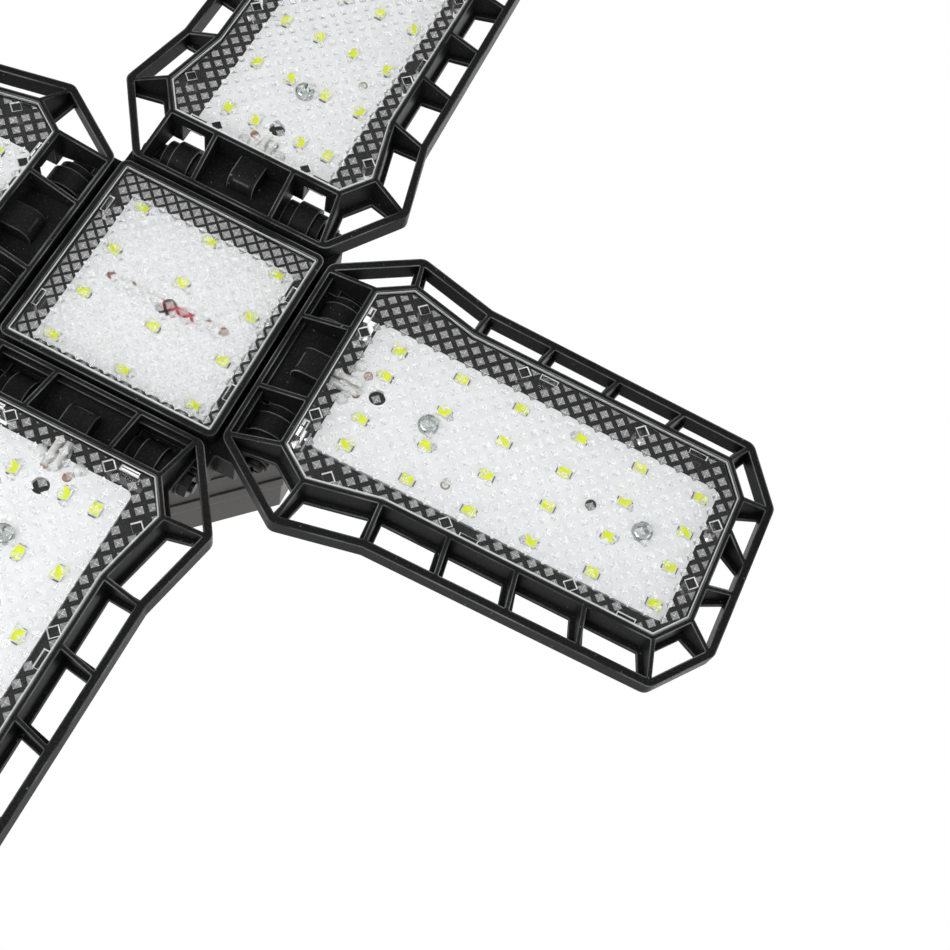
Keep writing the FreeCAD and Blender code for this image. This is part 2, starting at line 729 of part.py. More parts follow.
def tray_windows():
    """Windows in the tray's hinge end: room for the ears' collars and for two snap tabs."""
    near, far = s.window_place - s.window_wide / 2, s.window_place + s.window_wide / 2
    start = TRAY[0][0] - SLACK / 2
    return [box(start, s.window_reach, near, far), box(start, s.window_reach, -far, -near)]


def barrel(body):
    """Barrel under the middle pocket, with the web that carries it."""
    across(
        body, "PartDesign::Pad", [circle(s.hinge_reach, s.hinge_depth, s.barrel_radius)],
        0, s.barrel_half * 2,
    )
    web = box(
        s.hinge_reach - s.barrel_web_half, s.hinge_reach + s.barrel_web_half,
        BOARD_BACK, s.hinge_depth,
    )
    across(body, "PartDesign::Pad", [web], 0, s.barrel_half * 2)
    bore = circle(s.hinge_reach, s.hinge_depth, s.pin_radius + s.pin_fit)
    across(body, "PartDesign::Pocket", [bore], 0, s.barrel_half * 2 + SLACK)


def wire_tunnel(body):
    """Hood in the middle pocket that leads the wires into the tray."""
    tray_x = TRAY[0][0]
    crest = BOARD_BACK - s.tunnel_high
    half = s.tunnel_width / 2
    hood = raised(
        body, [box(s.tunnel_start, tray_x + s.tray_lip / 2, -half, half)],
        crest, BOARD_BACK + s.tray_floor / 2,
    )

    def hub_side_crest(edge):
        ends = [v.Point for v in edge.Vertexes]
        return all(
            abs(p.z - crest.value) < 1e-6 and abs(p.x - s.tunnel_start.value) < 1e-6
            for p in ends
        )

    rounded(body, hood, s.tunnel_round, hub_side_crest)
    wire_room = s.lead_radius * 2.6
    sunk(
        body,
        [box(s.tunnel_start + s.rib_thick, TRAY_INSIDE[0][0] + SLACK, -wire_room, wire_room)],
        crest + s.rib_thick, BOARD_BACK,
    )


def wing_light(number, quarter):
    lens = new_body(f"wing_{number}_lens")
    raised(lens, [inset(LENS, s.lens_fit)], WING_FRONT, LENS_BACK)
    posts = [diamond(x, y, s.post_side) for x, y in post_places()]
    raised(lens, posts, LENS_BACK - SLACK / 2, BOARD_BACK - s.lens_fit)
    tabs, hooks = snap_tabs()
    raised(lens, tabs, LENS_BACK - SLACK / 2, BOARD_FRONT)
    hook_front = WINDOW_FRONT + s.lens_fit
    raised(lens, hooks, hook_front, hook_front + s.tab_hook_high)
    seat(lens, f"wing_{number}_lens", quarter)

    board = new_body(f"wing_{number}_board")
    outline = cut_corners(s.board_start, s.board_end, s.board_half, s.board_chamfer)
    raised(board, [outline], BOARD_FRONT, BOARD_BACK)
    clear = s.screw_radius + s.screw_fit
    screws = [(s.near_screw_reach, 0.0), (s.far_screw_reach, 0.0)]
    holes = [circle(x, y, clear) for x, y in screws]
    holes.append(circle(s.near_led_reach + SLACK, 0.0, s.screw_radius))
    sunk(board, holes, BOARD_FRONT - SLACK, BOARD_BACK + SLACK)
    seat(board, f"wing_{number}_board", quarter)

    chip_group(
        f"wing_{number}_leds", wing_chip_places(), WING_FRONT + s.led_drop, BOARD_FRONT, quarter
    )
    screw_solids = [
        pan_screw(Vector(x.value, 0, BOARD_FRONT.value), Vector(0, 0, 1), s.board_screw_long)
        for x, y in screws
    ]
    group(f"wing_{number}_board_screws", screw_solids, quarter)


def post_places():
    """Square posts by which a lens stands on the tray's floor."""
    places = [
        (s.near_post_reach, s.near_post_half),
        (s.shoulder_post_reach, s.shoulder_post_half),
        (s.waist_post_reach, s.lens_c_half - s.post_inset),
        (s.far_post_reach, s.lens_d_half - s.post_inset),
        (s.lens_e_reach - s.post_inset, s.end_post_half),
    ]
    return [(x, y * side) for x, y in places for side in (1, -1)]


def snap_tabs():
    """Snap tabs along the edge of the lens, and the hooks of the two at the hinge end."""
    half, thick = s.tab_wide / 2, s.tab_thick
    start = s.lens_a_reach + s.lens_ledge + s.lens_fit
    side_out = s.lens_d_half - s.lens_ledge - s.lens_fit
    tabs, hooks = [], []
    for side in (1, -1):
        middle = s.window_place * side
        tabs.append(box(start, start + thick, middle - half, middle + half))
        hooks.append(box(start - s.tab_hook, start + thick / 2, middle - half, middle + half))
        edge = side_out * side
        inner = (side_out - thick) * side
        for reach in (s.inner_tab_reach, s.outer_tab_reach):
            tabs.append(box(reach - half, reach + half, edge, inner))
    return tabs, hooks


def cut_corners(start, end, half, cut):
    return [
        (start + cut, -half), (end - cut, -half), (end, cut - half), (end, half - cut),
        (end - cut, half), (start + cut, half), (start, half - cut), (start, cut - half),
    ]


def wing_chip_places():
    places = [
        (s.near_led_reach, (s.near_led_half + s.near_led_row * step) * side)
        for side in (1, -1)
        for step in (-0.5, 0.5)
    ]
    for column in range(5):
        for row in (-1.5, -0.5, 0.5, 1.5):
            places.append((s.first_led_reach + s.led_column * column, s.led_row * row))
    return places


def pan_screw(seat_point, direction, length):
    """Pan-head screw whose head stands on seat_point and whose shank runs along direction."""
    return headed_pin(seat_point, direction, s.screw_radius, length)


def headed_pin(seat_point, direction, radius, length):
    """Round shank with a chamfered head at its start."""
    shank = Part.makeCylinder(radius.value, length.value, seat_point, direction)
    high = s.screw_head_high.value
    head = Part.makeCylinder(
        s.screw_head_radius.value, high, seat_point - direction * high, direction
    )
    crown = [
        edge for edge in head.Edges
        if edge.Closed and (edge.CenterOfMass - seat_point).dot(direction) < -high / 2
    ]
    return head.makeChamfer(s.screw_head_chamfer.value, crown).fuse(shank).removeSplitter()


# ---------------------------------------------------------------- hinge hardware


def hinge_hardware(number, quarter):
    """Screw through barrel and ears, its nut, and a friction washer at each end of the barrel."""
    along = Vector(0, 1, 0)
    ear_face = s.ear_end_half
    axis_at = Vector(s.hinge_reach.value, 0, s.hinge_depth.value)
    length = ear_face * 2 + s.nut_high + s.pin_tail
    screw = headed_pin(axis_at + along * ear_face.value, -along, s.pin_radius, length)
    group(f"wing_{number}_hinge_screw", [screw], quarter)

    high = s.nut_high.value
    corner = s.nut_width.value / math.sqrt(3)
    hexagon = [
        axis_at + Vector(corner * math.cos(a), -ear_face.value, corner * math.sin(a))
        for a in (math.radians(60 * i) for i in range(7))
    ]
    nut = Part.Face(Part.makePolygon(hexagon)).extrude(-along * high)
    bore_radius = (s.pin_radius + s.screw_fit / 2).value
    hole = Part.makeCylinder(bore_radius, high * 3, axis_at - along * (ear_face.value - high), -along)
    group(f"wing_{number}_hinge_nut", [nut.cut(hole)], quarter)

    play = (s.ear_gap - s.washer_thick).value / 2
    thick = s.washer_thick.value
    washers = []
    for outwards in (along, -along):
        inner = axis_at + outwards * (s.barrel_half.value + play)
        disc = Part.makeCylinder(s.washer_radius.value, thick, inner, outwards)
        washers.append(disc.cut(Part.makeCylinder(bore_radius, thick, inner, outwards)))
    group(f"wing_{number}_friction_washers", washers, quarter)


def wing_leads(number, quarter):
    """Two leads from the tunnel to the solder pads of the board."""
    radius = s.lead_radius.value
    height = BOARD_FRONT.value - radius
    start = s.tunnel_start.value + s.rib_thick.value + 1.0
    end = s.board_start.value + 4.0
    leads = [
        Part.makeCylinder(radius, end - start, Vector(start, radius * 1.4 * side, height),
                          Vector(1, 0, 0))
        for side in (1, -1)
    ]
    group(f"wing_{number}_leads", leads, quarter)


# ---------------------------------------------------------------- driver housing


def housing_front():
    body = new_body("housing_front")
    outside = eight_sided(s.housing_half, s.housing_diagonal)
    inside = inset(outside, s.housing_wall)
    floor = s.hub_depth + s.tray_floor
    raised(body, [inset(outside, s.collar_step)], s.hub_depth, s.collar_height)
    raised(body, [outside], s.collar_height, s.seam_height - s.seam_groove)
    rebate = inset(outside, s.seam_groove)
    raised(body, [rebate], s.hub_depth, s.seam_height)
    sunk(body, [inside], floor, s.seam_height + SLACK)
    bosses = [circle(x, y, s.boss_radius) for x, y in four_places(s.boss_place)]
    raised(body, bosses, s.hub_depth, s.seam_height)
    posts = [circle(x, y, s.boss_radius) for x, y in driver_post_places()]
    raised(body, posts, s.hub_depth, s.driver_board_height)
    pilot = s.screw_radius + s.screw_fit
    sunk(body, [circle(x, y, pilot) for x, y in four_places(s.boss_place)],
         floor + SLACK, s.seam_height + SLACK)
    sunk(body, [circle(x, y, pilot) for x, y in driver_post_places()],
         floor + SLACK, s.driver_board_height + SLACK)
    through = [circle(x, y, pilot) for x, y in four_places(s.hub_boss_place)]
    through.append(circle(0, 0, s.boss_radius))
    sunk(body, through, s.hub_depth - SLACK, floor + SLACK)
    return seat(body, "housing_front")


def driver_post_places():
    x = s.driver_board_long / 2 - s.boss_radius
    return [(x, as_size(0)), (-x, as_size(0))]


def housing_rear():
    body = new_body("housing_rear")
    outside = eight_sided(s.housing_half, s.housing_diagonal)
    inside = inset(outside, s.housing_wall)
    shoulder_top = s.shoulder_height + s.shoulder_rise
    top_outline = eight_sided(
        s.housing_half - s.shoulder_draw, s.housing_diagonal - s.shoulder_draw
    )
    band_back = s.seam_height + s.band_high
    raised(body, [inset(outside, -s.band_proud)], s.seam_height, band_back)
    raised(body, [inset(outside, s.seam_groove)], band_back, band_back + s.seam_groove)
    raised(body, [outside], band_back + s.seam_groove, s.shoulder_height)
    lofted(body, "PartDesign::AdditiveLoft", s.shoulder_height, outside,
           shoulder_top, top_outline)
    sunk(body, [inside], s.seam_height - SLACK, s.shoulder_height)
    lofted(body, "PartDesign::SubtractiveLoft", s.shoulder_height - SLACK / 100, inside,
           shoulder_top - s.housing_wall, inset(top_outline, s.housing_wall))
    spun(body, "PartDesign::Revolution", neck_outline())
    sunk(body, [circle(0, 0, s.neck_foot_radius - s.neck_wall)],
         shoulder_top - s.housing_wall - SLACK, shoulder_top)
    bosses = [circle(x, y, s.boss_radius) for x, y in four_places(s.boss_place)]
    raised(body, bosses, s.seam_height, s.shoulder_height + s.shoulder_rise / 2)
    well_floor = s.seam_height + s.band_high
    wells = [
        circle(x, y, s.screw_head_radius + s.screw_fit) for x, y in four_places(s.boss_place)
    ]
    sunk(body, wells, well_floor, shoulder_top + SLACK)
    holes = [circle(x, y, s.screw_radius + s.screw_fit) for x, y in four_places(s.boss_place)]
    sunk(body, holes, s.seam_height - SLACK, well_floor + SLACK)
    return seat(body, "housing_rear")


def neck_outline():
    """Neck wall and spigot as one closed outline of radius and height."""
    foot = s.shoulder_height + s.shoulder_rise - s.housing_wall
    wall = s.neck_wall
    top = s.base_height + s.spigot_high
    outer = [
        (s.neck_foot_radius, foot),
        (s.neck_foot_radius, foot + s.housing_wall + SLACK),
        (s.neck_waist_radius, s.neck_waist_height),
        (s.neck_radius, s.base_height - SLACK),
        (s.neck_radius - SLACK / 2, s.base_height),
        (s.spigot_radius, s.base_height),
        (s.spigot_radius, top),
    ]
    inner = [
        (s.spigot_radius - wall, top),
        (s.spigot_radius - wall, s.base_height - wall),
        (s.neck_waist_radius - wall, s.neck_waist_height),
        (s.neck_foot_radius - wall, foot),
    ]
    return outer + inner


def housing_screws():
    """Four screws that hold the two shells together, and four that hold the hub."""
    up = Vector(0, 0, 1)
    well_floor = (s.seam_height + s.band_high).value
    shell_screws = [
        pan_screw(Vector(x.value, y.value, well_floor), -up, s.shell_screw_long)
        for x, y in four_places(s.boss_place)
    ]
    group("housing_screws", shell_screws)
    floor = (s.hub_depth + s.tray_floor).value
    hub_screws = [
        pan_screw(Vector(x.value, y.value, floor), -up, s.hub_screw_long)
        for x, y in four_places(s.hub_boss_place)
    ]
    group("hub_screws", hub_screws)


# ---------------------------------------------------------------- screw base


def screw_shell():
    body = new_body("screw_shell")
    foot, high = s.base_height, s.shell_high
    root, thick = s.shell_root_radius, s.shell_thick
    crest = s.shell_crest_radius
    pitch = s.thread_pitch
    flank = crest - s.thread_round
    outer = [(root, foot)]
    for turn_number in range(4):
        start = foot + pitch * (turn_number + 0.35)
        outer += [
            (root, start), (flank, start + pitch * 0.2), (crest, start + pitch * 0.35),
            (flank, start + pitch * 0.5), (root, start + pitch * 0.7),
        ]
    end = foot + high
    outer += [(root, end - s.shell_bend), (root - s.shell_draw, end)]
    inner = [
        (root - s.shell_draw - thick, end),
        (root - thick, end - s.shell_bend - thick),
        (root - thick, foot),
    ]
    spun(body, "PartDesign::Revolution", outer + inner)
    return seat(body, "screw_shell")


def base_top():
    """Black insulator in the end of the screw shell, with the centre contact on it."""
    body = new_body("base_insulator")
    foot = s.base_height + s.spigot_high
    shell_top = s.base_height + s.shell_high
    fit = s.screw_fit
    plug = s.spigot_radius - fit
    lip = s.shell_root_radius - s.shell_draw
    inside = lip - s.shell_thick - fit
    top = shell_top + s.insulator_high
    outline = [
        (s.lead_hole, foot), (plug, foot), (plug, shell_top - s.insulator_plug),
        (inside, shell_top - fit * 2), (inside, shell_top), (lip, shell_top + fit * 2),
        (lip - s.shell_thick, shell_top + s.insulator_lip), (s.contact_radius + s.shell_thick, top),
        (s.lead_hole, top),
    ]
    spun(body, "PartDesign::Revolution", outline)
    seat(body, "base_insulator")

    contact = new_body("centre_contact")
    button = [
        (as_size(0), top), (s.contact_radius, top),
        (s.contact_radius * 0.92, top + s.contact_high / 2),
        (s.contact_radius / 2, top + s.contact_high), (as_size(0), top + s.contact_high),
    ]
    spun(contact, "PartDesign::Revolution", button)
    seat(contact, "centre_contact")


# ---------------------------------------------------------------- driver


def driver():
    board = new_body("driver_board")
    low = s.driver_board_height
    high = low + s.driver_board_thick
    long, wide = s.driver_board_long / 2, s.driver_board_wide / 2
    raised(board, [box(-long, long, -wide, wide)], low, high)
    pilot = s.screw_radius + s.screw_fit
    sunk(board, [circle(x, y, pilot) for x, y in driver_post_places()],
         low - SLACK, high + SLACK)
    seat(board, "driver_board")
    top = high.value
    group("driver_transformer", [transformer(top)])
    capacitor = Part.makeCylinder(
        s.capacitor_radius.value, s.capacitor_high.value, Vector(*CAPACITOR_PLACE, top)
    )
    rim = [e for e in capacitor.Edges if e.Closed and e.CenterOfMass.z > top + SLACK]
    group("driver_capacitor", [capacitor.makeChamfer(s.capacitor_rim.value, rim)])
    group("driver_components", [
        Part.makeBox(component_long, component_wide, component_high, Vector(x, y, top))
        for component_long, component_wide, component_high, x, y in COMPONENTS.values()
    ])
    screws = [
        pan_screw(Vector(x.value, 0, top), Vector(0, 0, -1), s.driver_screw_long)
        for x, y in driver_post_places()
    ]
    group("driver_screws", screws)
    lead_end = (s.base_height + s.spigot_high).value
    place = s.mains_lead_place.value
    group("mains_leads", [
        Part.makeCylinder(s.lead_radius.value, lead_end - top, Vector(x, 0, top))
        for x in (-place, place)
    ])


def transformer(foot):
    """Two core plates with the winding between them, standing on the driver board."""
    long, wide, thick = s.core_long.value, s.core_wide.value, s.core_thick.value
    near, side = -s.core_place.value, -wide / 2
    inset_by, high = s.winding_inset.value, s.winding_high.value
    lower = Part.makeBox(long, wide, thick, Vector(near, side, foot))
    winding = Part.makeBox(
        long - inset_by * 2, wide - inset_by * 2, high,
        Vector(near + inset_by, side + inset_by, foot + thick),
    )
    upper = Part.makeBox(long, wide, thick, Vector(near, side, foot + thick + high))
    return lower.fuse([winding, upper])


# ---------------------------------------------------------------- the whole lamp


def build():
    hub_body()
    centre_light()
    for number in WINGS:
        quarter = number - 1
        wing_frame(number, quarter)
        wing_light(number, quarter)
        hinge_hardware(number, quarter)
        wing_leads(number, quarter)
    housing_front()
    housing_rear()
    housing_screws()
    screw_shell()
    base_top()
    driver()
    doc.recompute()


def check_and_write():
    for thing in doc.Objects:
        if {"Invalid", "Error"} & set(thing.State):
            raise RuntimeError(f"{thing.Name} ({thing.Label}) failed: {thing.State}")
    os.makedirs("parts", exist_ok=True)
    for node in NODES:
        if node.Shape.isNull() or not node.Shape.isValid():
            raise RuntimeError(f"{node.Label} has no valid shape")
    for node in NODES:
        node.Shape.exportStep(os.path.join("parts", f"{node.Label}.step"))
        print(f"{node.Label}: {len(node.Shape.Solids)} solids, {node.Shape.Volume:.1f} mm3")


build()
check_and_write()
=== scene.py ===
"""Looks of the folding garage lamp: clear plates, light boards, black wings, grey housing.

Lengths are metres in the lamp's own frame: +Z up along the screw base, wing 1 along +X. What the
four wings share is modelled once on wing 1 and copied round the lamp's axis.
"""

import json
import math

import bpy
from mathutils import Euler, Matrix, Vector

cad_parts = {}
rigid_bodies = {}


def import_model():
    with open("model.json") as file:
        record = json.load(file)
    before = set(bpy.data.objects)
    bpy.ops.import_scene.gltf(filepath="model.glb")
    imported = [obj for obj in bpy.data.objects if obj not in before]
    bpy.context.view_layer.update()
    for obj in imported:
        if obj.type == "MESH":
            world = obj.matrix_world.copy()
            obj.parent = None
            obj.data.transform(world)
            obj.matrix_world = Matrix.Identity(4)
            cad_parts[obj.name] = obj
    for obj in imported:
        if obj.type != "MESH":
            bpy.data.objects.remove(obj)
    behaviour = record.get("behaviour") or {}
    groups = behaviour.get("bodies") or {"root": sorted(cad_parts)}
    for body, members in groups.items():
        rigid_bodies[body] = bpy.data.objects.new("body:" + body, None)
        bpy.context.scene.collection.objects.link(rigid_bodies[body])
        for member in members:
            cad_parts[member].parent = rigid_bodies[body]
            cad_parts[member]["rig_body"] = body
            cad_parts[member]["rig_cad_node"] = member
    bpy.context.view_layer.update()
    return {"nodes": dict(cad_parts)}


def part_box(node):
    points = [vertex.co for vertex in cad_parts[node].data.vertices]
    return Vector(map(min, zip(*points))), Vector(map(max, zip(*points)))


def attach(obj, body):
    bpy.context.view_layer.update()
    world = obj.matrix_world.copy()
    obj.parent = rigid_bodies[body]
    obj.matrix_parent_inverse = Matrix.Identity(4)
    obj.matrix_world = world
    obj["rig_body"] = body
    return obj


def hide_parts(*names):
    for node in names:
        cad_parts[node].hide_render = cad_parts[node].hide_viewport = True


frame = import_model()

MM = 0.001
WINGS = (1, 2, 3, 4)

# camera: where the photograph was taken from, below the lamp and off to one side
CAMERA_PLACE = Vector((102.98, 155.23, -420.72)) * MM
CAMERA_TILT = Euler((0.41, -0.16, 0.44), "XYZ")
CAMERA_LENS = 53.94
SENSOR_WIDTH = 36.0

# prisms moulded on the back of the clear plates
WING_PRISM_PITCH = 3.2 * MM
WING_PRISM_SIDE = 2.05 * MM
CENTRE_PRISM_PITCH = 2.75 * MM
CENTRE_PRISM_SIDE = 2.1 * MM
PRISM_SLOPE = math.radians(20)
PRISM_SUNK = 0.02 * MM
PRISM_ROOM = (1.0 * MM, 2.0 * MM)
ABOVE_PLATE = 20.0 * MM
PLATE_THICK = 2.0 * MM
RIDGE_WIDE = 0.14 * MM
PLATE_BORDER = 0.75 * MM
PLATE_ROUND = 0.4 * MM
POST_FILLET = 0.28 * MM
PLATE_IOR = 1.3

# light chips
CHIP_WALL = 0.3 * MM
CHIP_ROUND = 0.8 * MM
CHIP_WELL = 0.12 * MM
CONTACT_SIZE = (0.35 * MM, 2.0 * MM, 0.2 * MM)

# light boards of the wings: trim of the long sides, extra length, corner, holes and marks
BOARD_TRIM = (0.9 * MM, 2.0 * MM)
BOARD_EXTRA = 0.6 * MM
BOARD_CORNER = 1.8 * MM
LEAD_HOLE_PLACE = (59.1 * MM, -0.7 * MM)
LEAD_HOLE_RADIUS = 2.2 * MM
BOARD_SCREW_HOLE = 1.7 * MM
DRILL_SPARE = 1.0 * MM
SMALL_SCREW_PLACE = (118.7 * MM, -0.5 * MM)
SMALL_SCREW_HEAD = (1.4 * MM, 0.7 * MM)
SMALL_SCREW_SHANK = (0.7 * MM, 1.0 * MM)
TEST_RING_PLACE = (84.4 * MM, 12.4 * MM)
TEST_RING_RADII = (1.0 * MM, 0.25 * MM)
SOLDER_PLACES = ((54.4 * MM, -4.9 * MM), (53.9 * MM, 1.2 * MM))
RESIN_PLACES = ((51.5 * MM, -6.5 * MM), (51.4 * MM, 4.0 * MM))
CENTRE_SOLDER = (-16.6 * MM, -10.6 * MM, 11.3 * MM, 15.8 * MM)
CENTRE_SOLDER_SIDE = -0.5 * MM
SOLDER_SIZE = (1.2 * MM, 0.6 * MM)
RESIN_SIZE = (1.7 * MM, 1.2 * MM)
GLUE_MIDDLE = (50.6 * MM, -0.4 * MM)
GLUE_SIZE = (9.0 * MM, 5.4 * MM, 2.6 * MM)
GLUE_LUMP_SIZE = 2.5 * MM
GLUE_LUMP_HIGH = 1.2 * MM

# pan-head screws; a head's rounding and cross recess are shares of its height and radius
SCREW_HEAD = (2.7 * MM, 1.8 * MM)
SCREW_SHANK_RADIUS = 1.45 * MM
HEAD_ROUND = 0.6
RECESS_DEEP = 0.62
RECESS_REACH = 0.62
RECESS_WIDE = 0.17

# screw shell
THREAD_PITCH = 3.629 * MM
THREAD_TURNS = 4.0
THREAD_DEPTH = 0.9 * MM
THREAD_START = 0.8 * MM
THREAD_FADE = 1.0 * MM
SHELL_WALL = 0.4 * MM
SHELL_DRAW_IN = 2.0 * MM
SHELL_AROUND, SHELL_ALONG = 96, 128

# meshes: points closer than WELD are one, faces within SAME_PLANE of a level lie in it
WELD = 0.002 * MM
SAME_PLANE = 0.01 * MM
FLAT_ANGLE = math.radians(0.5)

# studio: lengths in metres; each lamp has a name, a place, watts and the side of its square
FLOOR_WIDE = 60.0
FLOOR_LEVEL = -0.85
FLOOR_SHADES = ((0.72, 0.72, 0.715), (0.76, 0.76, 0.755))
LAMP_AIM = Vector((0, 0, -0.08))
LAMPS = (
    ("below_left", (-0.25, 0.35, -0.75), 6.5, 0.7),
    ("below_right", (0.70, -0.05, -0.60), 1.2, 0.5),
    ("above", (0.35, -0.55, 0.75), 2.5, 0.8),
    ("behind", (-0.70, 0.60, 0.45), 1.2, 0.6),
)


# ---------------------------------------------------------------- shader maths


class Value:
    """A value that may change over a surface; sums on it add Math nodes to its finish."""

    def __init__(self, finish, socket):
        self.finish, self.socket = finish, socket

    def maths(self, operation, *values):
        inputs = dict(enumerate(values))
        return self.finish.node("ShaderNodeMath", {"operation": operation}, inputs)

    def __add__(self, other):
        return self.maths("ADD", self, other)

    def __sub__(self, other):
        return self.maths("SUBTRACT", self, other)

    def __rsub__(self, other):
        return self.maths("SUBTRACT", other, self)

    def __mul__(self, other):
        return self.maths("MULTIPLY", self, other)

    __radd__ = __add__

    def __rmul__(self, other):
        return self.maths("MULTIPLY", other, self)

    def above(self, edge, blur):
        """0 below the edge and 1 above it, with a soft step as wide as blur."""
        return self.finish.node(
            "ShaderNodeMapRange", {"interpolation_type": "SMOOTHSTEP"},
            {"Value": self, "From Min": edge - blur / 2, "From Max": edge + blur / 2},
        )


class Finish:
    """One material, built up from nodes that read Object coordinates."""

    def __init__(self, name):
        self.material = bpy.data.materials.new(name)
        self.material.use_nodes = True
        self.nodes = self.material.node_tree.nodes
        self.links = self.material.node_tree.links
        self.shader = self.nodes["Principled BSDF"]

    def node(self, kind, settings=None, inputs=None, output=0):
        """Any node: its settings are made first, then its sockets get values or links."""
        made = self.nodes.new(kind)
        for name, setting in (settings or {}).items():
            setattr(made, name, setting)
        for key, value in (inputs or {}).items():
            self.put(made.inputs[key], value)
        return Value(self, made.outputs[output])

    def put(self, socket, value):
        if isinstance(value, Value):
            self.links.new(value.socket, socket)
        else:
            socket.default_value = value

    def set(self, **sockets):
        """Give the surface shader its values; an underscore in a name stands for a space."""
        for name, value in sockets.items():
            self.put(self.shader.inputs[name.replace("_", " ")], value)
        return self.material

    def place(self):
        return self.node("ShaderNodeTexCoord", output="Object")

    def noise(self, scale, detail=2.0, roughness=0.5):
        return self.node(
            "ShaderNodeTexNoise", None,
            {"Vector": self.place(), "Scale": scale, "Detail": detail, "Roughness": roughness},
        )

    def mix(self, factor, first, second):
        return self.node(
            "ShaderNodeMix", {"data_type": "RGBA"},
            {"Factor": factor, "A": colour(first), "B": colour(second)}, output="Result",
        )

    def edges(self, reach):
        """1 along every edge that stands out, fading to 0 on the flats within reach of it."""
        whole = self.node(
            "ShaderNodeAmbientOcclusion", {"samples": 6, "inside": True, "only_local": True},
            {"Distance": reach}, output="AO",
        )
        return (1 - whole).above(0.26, 0.24)

    def bump(self, height, depth, edge_round=0.0):
        """Raise the surface by height times depth; edge_round softens sharp edges as moulded."""
        inputs = {"Height": height, "Distance": depth, "Strength": 1.0}
        if edge_round:
            inputs["Normal"] = self.node(
                "ShaderNodeBevel", {"samples": 4}, {"Radius": edge_round}
            )
        return self.node("ShaderNodeBump", None, inputs)


def colour(rgb):
    return rgb if isinstance(rgb, Value) else (*rgb, 1.0)


# ---------------------------------------------------------------- finishes


def moulded_plastic(name, dark, light, highlight_and_dust_colour, rough, grain, edge_round, gloss):
    """Moulded plastic: spark-eroded grain, faint flow marks, dust, and a painted highlight along
    the edges.

    The painted edge highlight is uneven: the coarse noise leaves the edges dark in some places.
    """
    finish = Finish(name)
    flow = finish.noise(35.0, 3.0)
    fine = finish.noise(2600.0, 2.0)
    specks = finish.noise(1700.0, 3.0).above(0.56, 0.16)
    dust = finish.noise(1100.0, 1.0).above(0.76, 0.05)
    # painted highlight: a pale colour along the edges, standing in for light caught by their
    # rounds, broken up by noise
    painted_edge_highlight = finish.edges(edge_round * 1.4) * (finish.noise(90.0, 3.0) * 2.4 - 0.65)
    shade = finish.mix(flow * 0.5 + specks * 0.35, dark, light)
    with_painted_highlight = finish.mix(painted_edge_highlight, shade, highlight_and_dust_colour)
    return finish.set(
        # dust takes the same pale colour as the painted edge highlight
        Base_Color=finish.mix(dust * 0.5, with_painted_highlight, highlight_and_dust_colour),
        Roughness=flow * 0.14 + fine * 0.16 + (rough - 0.15),
        Specular_IOR_Level=gloss,
        Normal=finish.bump(fine, grain, edge_round),
    )


def clear_plastic():
    """Polished clear plastic with a trace of haze."""
    finish = Finish("clear_plate")
    haze = finish.noise(300.0, 2.0)
    return finish.set(
        Base_Color=(1.0, 1.0, 1.0, 1.0),
        Transmission_Weight=1.0,
        IOR=PLATE_IOR,
        Roughness=haze * 0.03,
    )


def frosted_plastic(name, clearness, milk, rough, grain):
    """Clear plastic that a textured mould, a broken ridge or an edge leaves milky."""
    finish = Finish(name)
    mottle = finish.noise(1500.0, 3.0)
    return finish.set(
        Base_Color=finish.mix(mottle.above(0.5, 0.3), milk, tuple(c * 1.08 for c in milk)),
        Transmission_Weight=clearness,
        IOR=PLATE_IOR,
        Roughness=mottle * 0.15 + rough,
        Normal=finish.bump(mottle, grain),
    )


def coated_board():
    """White solder mask, a little uneven over the copper under it."""
    finish = Finish("white_board")
    copper = finish.node(
        "ShaderNodeTexVoronoi", {"feature": "DISTANCE_TO_EDGE"},
        {"Vector": finish.place(), "Scale": 95.0}, output="Distance",
    ).above(0.06, 0.02)
    fine = finish.noise(1800.0)
    base = finish.mix(copper, (0.90, 0.925, 0.945), (0.925, 0.945, 0.96))
    return finish.set(
        Base_Color=base, Roughness=fine * 0.1 + 0.32, Normal=finish.bump(copper, 0.02 * MM)
    )


def plain_gloss(name, base, rough, **more):
    """Small parts: one colour with a faint unevenness in tone and gloss."""
    finish = Finish(name)
    uneven = finish.noise(700.0, 3.0)
    dark = tuple(c * 0.88 for c in base)
    return finish.set(
        Base_Color=finish.mix(uneven, dark, base), Roughness=uneven * 0.12 + (rough - 0.06),
        **more,
    )


def two_sleeves():
    """Leads of the centre board: one sleeve white, the other red and stripped at its end."""
    finish = Finish("centre_sleeves")
    along = finish.node(
        "ShaderNodeSeparateXYZ", None, {"Vector": finish.place()}, output="X"
    )
    white = (0.84, 0.85, 0.85)
    sleeve = finish.mix(along.above(-1.0 * MM, 0.4 * MM), white, (0.42, 0.03, 0.05))
    bare = along.above(8.2 * MM, 0.4 * MM)
    return finish.set(
        Base_Color=finish.mix(bare, sleeve, white),
        Roughness=finish.noise(500.0) * 0.15 + 0.3,
    )


def plated_metal(name, base, rough):
    """Plated metal with fine turning marks and a few dull spots."""
    finish = Finish(name)
    fine = finish.noise(3200.0, 3.0)
    spots = finish.noise(260.0, 2.0).above(0.62, 0.1)
    dull = tuple(c * 0.8 for c in base)
    return finish.set(
        Base_Color=finish.mix(spots, base, dull),
        Metallic=1.0,
        Roughness=fine * 0.12 + spots * 0.12 + (rough - 0.06),
        Normal=finish.bump(fine, 0.004 * MM),
    )
